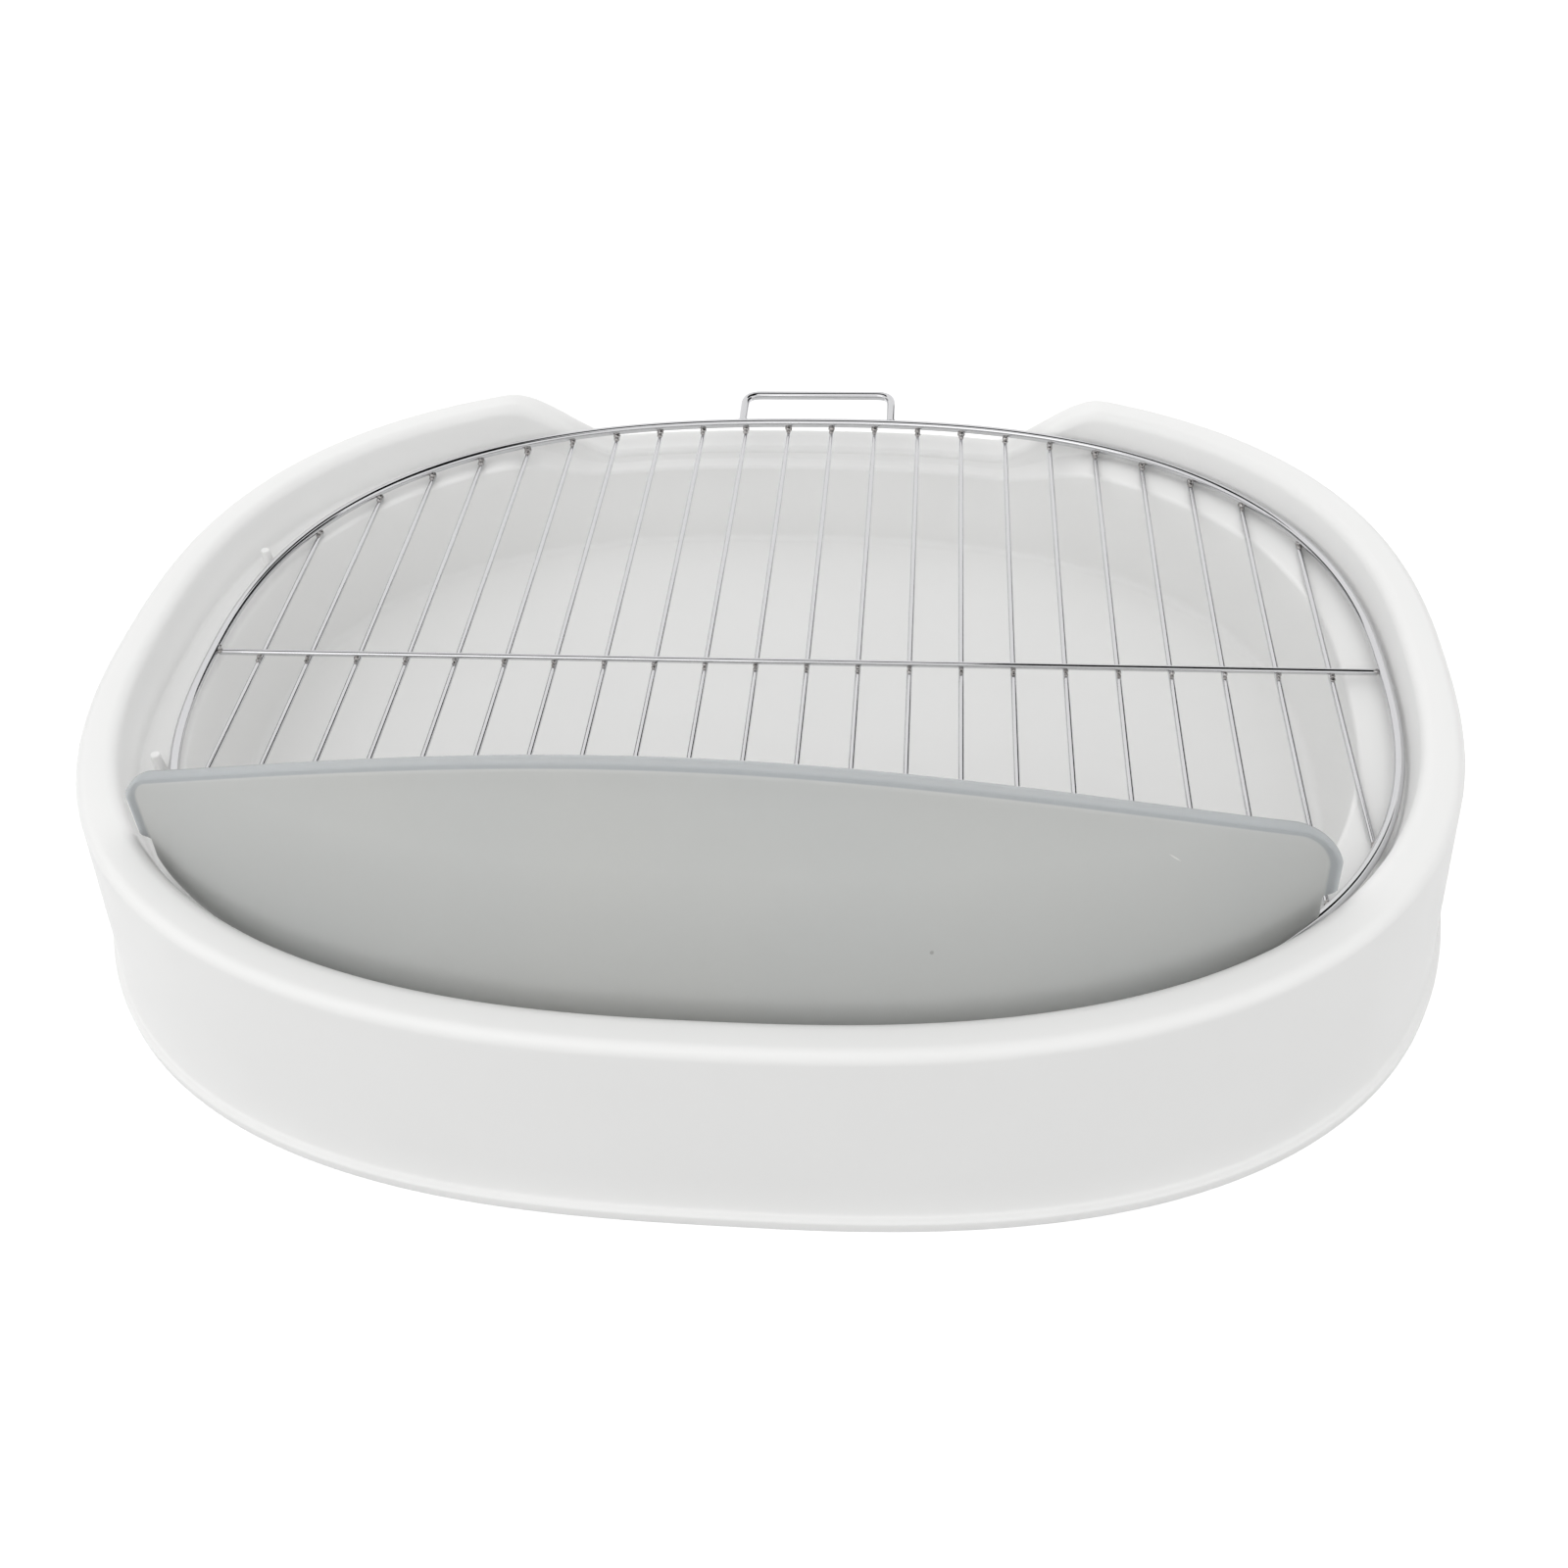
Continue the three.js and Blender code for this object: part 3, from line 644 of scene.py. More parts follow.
def rack_tree():
    """Parallel wires whose ends follow an oval: one line for each, swept with a round profile."""
    sizes = ("Pitch", "Half Width", "Half Depth", "Oval Power", "Height", "Wire Radius")
    tree, given = new_tree("oval_wire_rack", Float=sizes, Int=("Count", "Sides"))
    last = node(tree, "ShaderNodeMath", {0: given["Count"], 1: 1.0}, operation="SUBTRACT")
    span = node(tree, "ShaderNodeMath", {0: last, 1: given["Pitch"]}, operation="MULTIPLY")
    start = node(tree, "ShaderNodeMath", {0: span, 1: -0.5}, operation="MULTIPLY")
    first = node(tree, "ShaderNodeCombineXYZ", {"X": start, "Z": given["Height"]})
    step = node(tree, "ShaderNodeCombineXYZ", {"X": given["Pitch"]})
    links = {"Count": given["Count"], "Start Location": first, "Offset": step}
    row = node(tree, "GeometryNodeMeshLine", links)
    # Half depth of the oval at each wire: depth * (1 - (x / width) ^ power) ^ (1 / power)
    place = node(tree, "GeometryNodeInputPosition")
    x, power = node(tree, "ShaderNodeSeparateXYZ", {0: place}), given["Oval Power"]
    share = node(tree, "ShaderNodeMath", {0: x, 1: given["Half Width"]}, operation="DIVIDE")
    share = node(tree, "ShaderNodeMath", {0: share}, operation="ABSOLUTE")
    share = node(tree, "ShaderNodeMath", {0: share, 1: power}, operation="POWER")
    rest = node(tree, "ShaderNodeMath", {0: 1.0, 1: share}, operation="SUBTRACT")
    root = node(tree, "ShaderNodeMath", {0: 1.0, 1: power}, operation="DIVIDE")
    rest = node(tree, "ShaderNodeMath", {0: rest, 1: root}, operation="POWER")
    reach = node(tree, "ShaderNodeMath", {0: rest, 1: given["Half Depth"]}, operation="MULTIPLY")
    size = node(tree, "ShaderNodeCombineXYZ", {"X": 1.0, "Y": reach, "Z": 1.0})
    ends = {"Start": (0.0, -1.0, 0.0), "End": (0.0, 1.0, 0.0)}
    line = node(tree, "GeometryNodeCurvePrimitiveLine", ends)
    links = {"Points": row, "Instance": line, "Scale": size}
    lines = node(tree, "GeometryNodeInstanceOnPoints", links)
    real = node(tree, "GeometryNodeRealizeInstances", {"Geometry": lines})
    links = {"Resolution": given["Sides"], "Radius": given["Wire Radius"]}
    circle = node(tree, "GeometryNodeCurvePrimitiveCircle", links)
    links = {"Curve": real, "Profile Curve": circle, "Fill Caps": True}
    swept = node(tree, "GeometryNodeCurveToMesh", links)
    # UV: metres along each wire, and its place across the rack
    here = node(tree, "GeometryNodeInputPosition")
    parts = node(tree, "ShaderNodeSeparateXYZ", {0: here}).outputs
    pair = node(tree, "ShaderNodeCombineXYZ", {"X": parts["Y"], "Y": parts["X"]})
    links = {"Geometry": swept, "Name": "UVMap", "Value": pair}
    kind = {"data_type": "FLOAT2", "domain": "CORNER"}
    mapped = node(tree, "GeometryNodeStoreNamedAttribute", links, **kind)
    return end_tree(tree, given, mapped)


def bead_tree():
    """Weld beads on the points of a mesh: uneven drops, each turned and sized by its seed."""
    tree, given = new_tree(
        "weld_beads", Geometry=("Geometry",), Float=("Flatness", "Unevenness"), Int=("Seed",)
    )
    drop = node(tree, "GeometryNodeMeshIcoSphere", {"Radius": 0.5, "Subdivisions": 3})
    size = node(tree, "ShaderNodeCombineXYZ", {"X": 1.0, "Y": 1.0, "Z": given["Flatness"]})
    # The smallest and largest size go by number, as do the least and most turn
    links = {2: 0.85, 3: 1.15, "Seed": given["Seed"]}
    swell = node(tree, "FunctionNodeRandomValue", links, data_type="FLOAT")
    links = {"Name": "bead_width"}
    width = node(tree, "GeometryNodeInputNamedAttribute", links, data_type="FLOAT")
    width = node(tree, "ShaderNodeMath", {0: width, 1: swell}, operation="MULTIPLY")
    sized = node(tree, "ShaderNodeVectorMath", {0: size, "Scale": width}, operation="SCALE")
    links = {0: (-0.2, -0.2, -3.1), 1: (0.2, 0.2, 3.1), "Seed": given["Seed"]}
    turn = node(tree, "FunctionNodeRandomValue", links, data_type="FLOAT_VECTOR")
    links = {"Points": given["Geometry"], "Instance": drop, "Rotation": turn, "Scale": sized}
    drops = node(tree, "GeometryNodeInstanceOnPoints", links)
    real = node(tree, "GeometryNodeRealizeInstances", {"Geometry": drops})
    # Lumps of about 1 mm on each drop
    place = node(tree, "GeometryNodeInputPosition")
    lumps = node(tree, "ShaderNodeTexNoise", {"Vector": place, "Scale": 900.0, "Detail": 1.0})
    links = {0: lumps.outputs["Color"], 1: (0.5, 0.5, 0.5)}
    centred = node(tree, "ShaderNodeVectorMath", links, operation="SUBTRACT")
    links = {0: centred, "Scale": given["Unevenness"]}
    push = node(tree, "ShaderNodeVectorMath", links, operation="SCALE")
    moved = node(tree, "GeometryNodeSetPosition", {"Geometry": real, "Offset": push})
    smooth = node(tree, "GeometryNodeSetShadeSmooth", {"Geometry": moved})
    return end_tree(tree, given, smooth)


# Operators


class TRAY_OT_basin(bpy.types.Operator):
    """Build the moulded basin with its rim, ledge, sump, entrance, foot flange and pegs"""

    bl_idname = "tray.basin"
    bl_label = "Basin"

    # Points round each ring of the skin, and how many rings make each rounded edge
    steps = 480
    floor_rings, fillet_rings, ledge_rings, rim_rings = 8, 8, 7, 9
    # Soft edges: from this share of the way to the edge to this share of the way past it, and rings
    wall_foot_bend, flange_root_bend = (0.9, 0.08, 5), (0.985, 0.4, 4)
    flange_edge_bend, flange_foot_bend = (0.6, 0.18, 5), (0.9, 1, 4)
    # Where the rings between two edges stand, as shares of the way
    lower_wall_places, upper_wall_places = (0.33, 0.67), (0.4, 0.7)
    rim_places, skirt_places = (0.5,), (0.2, 0.4, 0.6, 0.8)
    # The floor's flat middle, as a share of its width
    middle_share = 0.02
    # How the foot flange's edges are rounded
    flange_round = 0.5 * MM
    # A peg's flared foot: shares of its radius, and places in mm over the ledge
    peg_flare = ((1.5, -1.5), (1.22, 0.15), (1.06, 0.5), (1, 1.1))
    peg_edge, peg_edge_rings, peg_sides = 0.6 * MM, 5, 24

    def entrance_share(self, plan):
        """Return 1 at the low sill and 0 at the full rim, with a smooth slope between."""
        b = self.b
        slope = np.clip((np.abs(plan[:, 0]) - b.entrance_half_width) / b.entrance_run, 0, 1)
        share = 1 - slope * slope * (3 - 2 * slope)
        return np.where(plan[:, 1] > 0, share, 0)

    def ring(self, inset, height, sill_height=None, sill_inset=None, power=None):
        """Return a ring of the skin. It may lie lower and further in at the entrance's sill."""
        b = self.b
        sill_inset = inset if sill_inset is None else sill_inset
        sill_height = height if sill_height is None else sill_height
        power = power or b.oval_power
        full = oval(b.half_width - inset, b.half_depth - inset, power, self.steps)
        low = oval(b.half_width - sill_inset, b.half_depth - sill_inset, power, self.steps)
        share = self.entrance_share(full)
        plan = full + (low - full) * share[:, None]
        return np.column_stack([plan, height + (sill_height - height) * share])

    def upper_skin(self):
        """Return the rings from the middle of the floor over the rim and down to the ground."""
        b, p, ring = self.b, self.plan, self.ring
        foot = p.ledge_inset + b.sump_setback
        floor = b.floor_height
        floor_edge = ring(foot + b.sump_fillet, floor)
        middle = floor_edge * (self.middle_share, self.middle_share, 1)
        wall_start = ring(foot, floor + b.sump_fillet)
        rings = between(middle, floor_edge, np.arange(self.floor_rings) / self.floor_rings)
        rings += quarter_round(floor_edge, wall_start, ring(foot, floor), self.fillet_rings)
        r = b.ledge_round
        sill_inset = p.wall_foot + b.sill_ledge_width
        ledge_low = ring(p.ledge_inset, p.ledge_height - r, p.sill_ledge - r, sill_inset)
        ledge_edge = ring(p.ledge_inset - r, p.ledge_height, p.sill_ledge, sill_inset - r)
        corner = ring(p.ledge_inset, p.ledge_height, p.sill_ledge, sill_inset)
        rings += between(wall_start, ledge_low, self.lower_wall_places)
        rings += quarter_round(ledge_low, ledge_edge, corner, self.ledge_rings)
        wall_foot = ring(p.wall_foot, p.ledge_height, p.sill_ledge)
        r = b.rim_round
        wall_top = ring(b.rim_width, b.height - r, p.sill_inner - b.sill_round)
        rings += soft_edge(ledge_edge, wall_foot, wall_top, *self.wall_foot_bend)
        rings += between(wall_foot, wall_top, self.upper_wall_places)
        rim_inner = ring(b.rim_width - r, b.height, p.sill_inner)
        corner = ring(b.rim_width, b.height, p.sill_inner)
        rings += quarter_round(wall_top, rim_inner, corner, self.rim_rings)
        rim_outer = ring(r, b.height, p.sill_height)
        skirt_top = ring(0, b.height - r, p.sill_height - r)
        rings += between(rim_inner, rim_outer, self.rim_places)
        corner = ring(0, b.height, p.sill_height)
        rings += quarter_round(rim_outer, skirt_top, corner, self.rim_rings)
        return rings + self.skirt(skirt_top)

    def skirt(self, top):
        """Return the rings of the skirt's outside and of the foot flange, down to the ground."""
        b = self.b
        edge = -b.skirt_flare - b.foot_width
        root = self.ring(-b.skirt_flare, b.foot_height, power=b.skirt_power)
        lip = self.ring(edge, b.foot_height - self.flange_round, power=b.skirt_power)
        bottom = self.ring(edge, 0, power=b.skirt_power)
        inner = self.ring(edge + self.flange_round, 0, power=b.skirt_power)
        rings = between(top, root, self.skirt_places)
        rings += soft_edge(top, root, lip, *self.flange_root_bend)
        rings += soft_edge(root, lip, bottom, *self.flange_edge_bend)
        rings += soft_edge(lip, bottom, inner, *self.flange_foot_bend)
        return rings

    def lower_skin(self):
        """Return the rings of the underside, from the foot in to the middle of the floor."""
        b, p, ring = self.b, self.plan, self.ring
        t, r, rim = b.wall, b.rim_round, b.rim_width
        under_rim, under_ledge = b.height - t, p.ledge_height - t
        back = p.ledge_inset + b.sump_setback - t
        sill_foot = p.wall_foot + b.sill_ledge_width - t
        return [
            ring(t - b.skirt_flare, 0, power=b.skirt_power),
            ring(t, b.height - r, p.sill_height - r),
            ring(r, under_rim, p.sill_height - t),
            ring(rim - r, under_rim, p.sill_inner - t),
            ring(rim - t, b.height - r, p.sill_inner - b.sill_round - t / 2),
            ring(p.wall_foot - t, under_ledge, p.sill_ledge - t),
            ring(p.ledge_inset - t, under_ledge, p.sill_ledge - t, sill_foot),
            ring(back, b.floor_height + b.sump_fillet),
            ring(back + b.sump_fillet, b.floor_height - t),
        ]

    def peg(self, place):
        """Return points and faces of a peg that stands on the ledge beside the left wall."""
        b, p = self.b, self.plan
        half_width, half_depth = b.half_width - p.wall_foot, b.half_depth - p.wall_foot
        wall = -oval_reach(half_depth, half_width, b.oval_power, place)
        slope_x = signed_power(wall / half_width, b.oval_power - 1) / half_width
        slope_y = signed_power(place / half_depth, b.oval_power - 1) / half_depth
        inward = Vector((-slope_x, -slope_y, 0)).normalized()
        foot = Vector((wall, place, p.ledge_height)) + inward * b.peg_wall_gap
        # Radius and height along the peg: flared foot, taper, rounded top edge
        edge, sides = self.peg_edge, self.peg_sides
        profile = [(b.peg_foot * share, rise * MM) for share, rise in self.peg_flare]
        profile += [
            (b.peg_top - edge + edge * math.cos(turn), b.peg_rise - edge + edge * math.sin(turn))
            for turn in np.linspace(0, math.pi / 2, self.peg_edge_rings)
        ]
        points = [
            foot + Vector((radius * math.cos(turn), radius * math.sin(turn), rise))
            for radius, rise in profile
            for turn in np.linspace(0, FULL_TURN, sides, endpoint=False)
        ]
        last = len(points) - sides
        caps = [tuple(range(sides))[::-1], tuple(range(last, last + sides))]
        return points, caps + skin_faces(len(profile), sides)

    def execute(self, context):
        self.b, self.plan = context.scene.tray_basin, TrayPlan(context.scene)
        rings = self.upper_skin() + self.lower_skin()
        points = [point for ring in rings for point in ring]
        # The rings run the other way round than a wire's, so each face is turned over
        faces = [face[:1] + face[:0:-1] for face in skin_faces(len(rings), self.steps)]
        last = len(points) - self.steps
        faces += [tuple(range(self.steps)), tuple(range(last, last + self.steps))[::-1]]
        for place in (self.b.peg_place, -self.b.peg_place):
            peg_points, peg_faces = self.peg(place)
            base = len(points)
            points += peg_points
            faces += [tuple(base + i for i in face) for face in peg_faces]
        piece = new_object("basin_shell", points, faces, sharp=math.radians(38))
        material = moulded_polypropylene(self.b.plastic)
        finish_piece(piece, material, "basin", ["basin"])
        return {"FINISHED"}


def steel(scene):
    """Return the wire material, made once."""
    found = bpy.data.materials.get("drawn_stainless_wire")
    return found or drawn_stainless_wire(scene.tray_grate.steel)


class TRAY_OT_ring(bpy.types.Operator):
    """Build the grate's ring, one thick wire bent into an oval"""

    bl_idname = "tray.ring"
    bl_label = "Grate Ring"

    steps, sides = 960, 24
    # The collar where the wire's two ends are butt-welded, just behind the crossbar's right end
    collar_place, collar_width, collar_swell = 8 * MM, 1.5 * MM, 0.08

    def execute(self, context):
        g, p = context.scene.tray_grate, TrayPlan(context.scene)
        flat = oval(p.ring_half_width, p.ring_half_depth, g.oval_power, self.steps)
        path = np.column_stack([flat, np.full(self.steps, p.ring_height)])
        away = (flat[:, 1] - g.bar_offset - self.collar_place) / self.collar_width
        swell = np.where(flat[:, 0] > 0, self.collar_swell * np.exp(-(away**2)), 0)
        radii = g.ring_wire / 2 * (1 + swell)
        path = placed(path, p.grate_shift, g.turn)
        piece = wire_object("ring_wire", path, radii, self.sides, closed=True)
        finish_piece(piece, steel(context.scene), "grate", ["grate_ring"])
        return {"FINISHED"}


class TRAY_OT_crossbar(bpy.types.Operator):
    """Build the crossbar, a straight wire across the thin wires, welded to the ring at both ends"""

    bl_idname = "tray.crossbar"
    bl_label = "Grate Crossbar"

    steps, sides = 40, 20
    # The bar's rounded ends: places from its tip, and shares of its radius there
    tip_places = np.array([0, 0.25, 0.7]) * MM
    tip_shares = np.array([0.72, 0.93])

    def execute(self, context):
        g, p = context.scene.tray_grate, TrayPlan(context.scene)
        tip = self.tip_places - (p.ring_side(g.bar_offset) - g.ring_wire / 2)
        straight = np.linspace(tip[-1], -tip[-1], self.steps)
        stations = np.concatenate([tip[:-1], straight, -tip[-2::-1]])
        radii = np.full(len(stations), g.bar_wire / 2)
        radii[:2] *= self.tip_shares
        radii[-2:] *= self.tip_shares[::-1]
        path = [(x, g.bar_offset, p.bar_height) for x in stations]
        path = placed(path, p.grate_shift, g.turn)
        piece = wire_object("crossbar_wire", path, radii, self.sides)
        finish_piece(piece, steel(context.scene), "grate", ["grate_crossbar"])
        return {"FINISHED"}


class TRAY_OT_thin_wires(bpy.types.Operator):
    """Grow the thin wires that run from front to back under the ring"""

    bl_idname = "tray.thin_wires"
    bl_label = "Thin Wires"

    sides = 16

    def execute(self, context):
        g, p = context.scene.tray_grate, TrayPlan(context.scene)
        values = {
            "Pitch": g.pitch,
            "Half Width": p.ring_half_width,
            "Half Depth": p.ring_half_depth,
            "Oval Power": g.oval_power,
            "Height": p.thin_height,
            "Wire Radius": g.thin_wire / 2,
            "Count": p.thin_count,
            "Sides": self.sides,
            "Material": steel(context.scene),
        }
        piece = grown("thin_wires", bpy.data.meshes.new("thin_wires"), rack_tree(), values)
        mesh = piece.data
        turned = Matrix.Rotation(g.turn, 4, "Z")
        mesh.transform(Matrix.Translation((p.grate_shift, 0, 0)) @ turned)
        for face in mesh.polygons:
            face.use_smooth = len(face.vertices) == 4
        nodes = [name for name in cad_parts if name.startswith("grate_wire_")]
        finish_piece(piece, steel(context.scene), "grate", nodes)
        return {"FINISHED"}


class TRAY_OT_handle(bpy.types.Operator):
    """Build the handle, a wire loop welded to the back of the ring"""

    bl_idname = "tray.handle"
    bl_label = "Grate Handle"

    sides = 24
    # Points along each leg, round each bend, and along the loop's end
    leg_steps, bend_steps, end_steps = 6, 10, 12
    # How deep the loop's ends are fused into the ring's wire
    fused = 1.2 * MM

    def path(self, g, p):
        """Return the loop's centre line: out from the ring, round two bends, and back."""
        half, bend = g.handle_half_width, g.handle_bend
        start = p.ring_back(half - g.handle_offset) + g.ring_wire / 2 - self.fused
        end = p.ring_half_depth + g.handle_reach
        left = [(-half, y) for y in np.linspace(start, end - bend, self.leg_steps)]
        left += [
            (-half + bend * share**2, end - bend * (1 - share) ** 2)
            for share in np.linspace(1 / self.bend_steps, 1, self.bend_steps)
        ]
        across = np.linspace(bend - half, half - bend, self.end_steps)[1:-1]
        flat = left + [(x, end) for x in across] + [(-x, y) for x, y in reversed(left)]
        slope = g.handle_rise / (end - start)
        return [(x + g.handle_offset, y, p.ring_height + (y - start) * slope) for x, y in flat]

    def execute(self, context):
        g, p = context.scene.tray_grate, TrayPlan(context.scene)
        path = placed(self.path(g, p), p.grate_shift, g.turn)
        piece = wire_object("handle_loop", path, g.handle_wire / 2, self.sides)
        finish_piece(piece, steel(context.scene), "grate", ["grate_handle"])
        return {"FINISHED"}


class TRAY_OT_welds(bpy.types.Operator):
    """Grow the weld beads that hold the wires, the crossbar and the handle together"""

    bl_idname = "tray.welds"
    bl_label = "Weld Beads"

    # Beads at each kind of weld: outwards and up from it in mm, and a share of the bead's width
    crossing_beads = ((-0.3, 0.3, 0.85), (-2.0, -0.1, 0.75))
    wire_end_beads = ((-0.2, 0.3, 1.35), (-2.2, -0.2, 1.05))
    # Beads at the crossbar's ends: outwards, back and up in mm
    bar_end_beads = ((-0.6, -0.2, 0.7), (0.9, 2.2, 1.1))
    # Beads across the foot of the handle, in mm from its middle, and how narrow they are
    foot_beads, foot_share = (-1.6, -0.5, 0.7, 1.7), 0.7
    # How far they stand behind the ring, and the height and half width of the hump that they make
    foot_gap, hump, hump_reach = 0.1 * MM, 1.0 * MM, 3.0
    flatness, unevenness, seed = 0.8, 0.7 * MM, 7

    def places(self, g, p):
        """Return each bead as x, y, z and width: crossings, wire ends, bar ends, handle feet."""
        made = []
        ring_radius = g.ring_wire / 2
        bar_front = g.bar_offset - g.bar_wire / 2
        for index in range(p.thin_count):
            x = (index - (p.thin_count - 1) / 2) * g.pitch
            for out, rise, share in self.crossing_beads:
                made.append((x, bar_front + out * MM, p.on_thin + rise * MM, g.bead * share))
            reach = p.ring_back(x)
            for side in (-1, 1):
                for out, rise, share in self.wire_end_beads:
                    y = side * (reach - ring_radius + out * MM)
                    made.append((x, y, p.on_thin + rise * MM, g.bead * share))
        reach = p.ring_side(g.bar_offset)
        for end in (-1, 1):
            for out, back, rise in self.bar_end_beads:
                x = end * (reach - ring_radius + out * MM)
                made.append((x, g.bar_offset + back * MM, p.bar_height + rise * MM, g.bead))
        for end in (-1, 1):
            x = g.handle_offset + end * g.handle_half_width
            y = p.ring_back(x) + ring_radius + self.foot_gap
            for offset in self.foot_beads:
                height = p.ring_height + (1 - abs(offset) / self.hump_reach) * self.hump
                made.append((x + offset * MM, y, height, g.bead * self.foot_share))
        made = np.array(made)
        return placed(made[:, :3], p.grate_shift, g.turn), made[:, 3]

    def execute(self, context):
        g, p = context.scene.tray_grate, TrayPlan(context.scene)
        spots, widths = self.places(g, p)
        seeds = bpy.data.meshes.new("weld_places")
        seeds.from_pydata([tuple(spot) for spot in spots], [], [])
        layer = seeds.attributes.new("bead_width", "FLOAT", "POINT")
        layer.data.foreach_set("value", widths)
        material = welded_stainless(g.steel)
        values = {
            "Flatness": self.flatness,
            "Unevenness": self.unevenness,
            "Seed": self.seed,
            "Material": material,
        }
        piece = grown("weld_beads", seeds, bead_tree(), values)
        finish_piece(piece, material, "grate", [])
        return {"FINISHED"}


class TRAY_OT_guard(bpy.types.Operator):
    """Build the splash guard, a curved leaning panel with a turned lip and two ears"""

    bl_idname = "tray.guard"
    bl_label = "Splash Guard"

    columns, rows = 192, 28
    # The last row of the face before the lip lies this far up
    last_row = 0.985
    # The power of the distance from the middle with which the ends lean in
    end_lean_power = 8
    # The edge is an ear where it faces sideways by more than this share
    ear_from = 0.5
    # How far the ears turn straight sideways, and how much of the lip's reach is left under them
    ear_turn, plain_share = 0.85, 0.15
    # Where the lip bends, as shares of its reach and of its depth, and how thick its edge is
    bend_reach, bend_depth, lip_edge = 0.6, 0.15, 0.3 * MM
    # Weights of the corner and of the tip, against the panel's edge, in the lip's softened bend
    bend_weights = (5.5, 0.5)
    # How far the lip's round edge stands out, in mm
    nose = 0.35
    # Where the section's points stand on both facets, on the inside and on its way back
    facet_places = ((0.12, 0.5, 0.85), (0.1, 0.45, 0.8, 0.93, 1), (0.15, 0.5, 0.95), (0.5,))
    # How far across the lip the section's points lie, from 0 at the face to 1 at the edge
    lip_shares = (0.05, 0.2, 0.32, 0.38, 0.42, 0.6, 0.8, 0.9, 0.97, 1, 1, 0.9, 0.6, 0.4, 0.2)

    def front(self):
        """Return the front surface as columns from left to right, each from foot to top."""
        s, p, b = self.s, self.plan, self.b
        half_width = b.half_width - p.wall_foot - s.side_play
        half_depth = b.half_depth - p.wall_foot - s.front_gap
        half_length = half_width - s.end_inset
        x = half_length * np.sin(math.pi * (np.linspace(0, 1, self.columns + 1) - 0.5))
        share = np.abs(x) / half_length
        end_depth = oval_reach(half_width, half_depth, b.oval_power, half_length)
        foot = oval_reach(half_width, half_depth, b.oval_power, x)
        top = half_depth - s.lean_depth
        top = top + (end_depth - top) * share**s.lean_power
        height = s.height + (s.end_height - s.height) * share**s.arch_power
        corner = np.where(x < 0, s.left_corner, s.right_corner)
        past = np.clip(np.abs(x) - half_length + corner, 0, corner)
        drop = corner - np.sqrt(corner**2 - past**2)
        shares = np.append(np.linspace(0, self.last_row, self.rows), 1)
        up = shares[None, :] * (1 - drop / height)[:, None]
        depth = foot[:, None] + (top - foot)[:, None] * up
        rise = up * height[:, None]
        lean = s.end_lean * (np.sign(x) * share**self.end_lean_power)[:, None] * rise
        return np.stack([x[:, None] - lean, -depth, p.guard_base + rise], axis=2)

    def backward(self, front):
        """Return the directions square to the front surface, into the tray."""
        normal = np.cross(np.gradient(front, axis=1), np.gradient(front, axis=0))
        return normal / np.linalg.norm(normal, axis=2)[:, :, None]

    def lip(self, place, along, backward, back):
        """Return the lip's section: two facets with a soft bend, a round edge, the inside."""
        s = self.s
        outward = np.cross(along, backward)
        outward /= np.linalg.norm(outward)
        side = 1 - outward[2] ** 2 / (1 - backward[2] ** 2)
        # Over the rim the ears turn straight out sideways, and under it the edge is plain
        over = 1.0
        if side > self.ear_from:
            over = float(np.clip((place[2] - self.b.height - s.ear_foot) / MM, 0, 1))
        sideways = np.array([math.copysign(1, place[0]), 0, 0])
        outward = outward + (sideways - outward) * side * over * self.ear_turn
        reach = s.lip_rise + (s.ear_width - s.lip_rise) * side
        reach *= self.plain_share + (1 - self.plain_share) * over
        depth = s.lip_depth + (s.ear_setback - s.lip_depth) * side
        inner_reach = reach - s.lip_thickness * (1 - side)
        edge = self.lip_edge + (s.thickness - self.lip_edge) * side
        into_bend = backward * depth * self.bend_depth
        bend = place + outward * reach * self.bend_reach + into_bend
        tip = place + outward * reach + backward * depth
        under = place + outward * inner_reach + backward * (depth + edge)
        inner = back + outward * inner_reach * self.bend_reach + into_bend
        ahead = (tip - bend) / np.linalg.norm(tip - bend)
        first, second, inside, last = self.facet_places
        points = between(place, bend, first)
        # The bend itself, drawn in a little from both facets
        corner, end = self.bend_weights
        points.append((place + bend * corner + tip * end) / (1 + corner + end))
        points += between(bend, tip, second)
        points += [(tip + under) / 2 + ahead * self.nose * MM, under]
        points += between(under, inner, inside)
        return points + between(inner, back, last)

    def execute(self, context):
        scene = context.scene
        self.s, self.b, self.plan = scene.tray_guard, scene.tray_basin, TrayPlan(scene)
        front = self.front()
        backward = self.backward(front)
        level = backward * (1, 1, 0)
        slope = np.linalg.norm(level, axis=2)[:, :, None]
        back = front + level * self.s.thickness / slope**2
        columns, rows = self.columns, self.rows
        points = [*front.reshape(-1, 3), *back.reshape(-1, 3)]
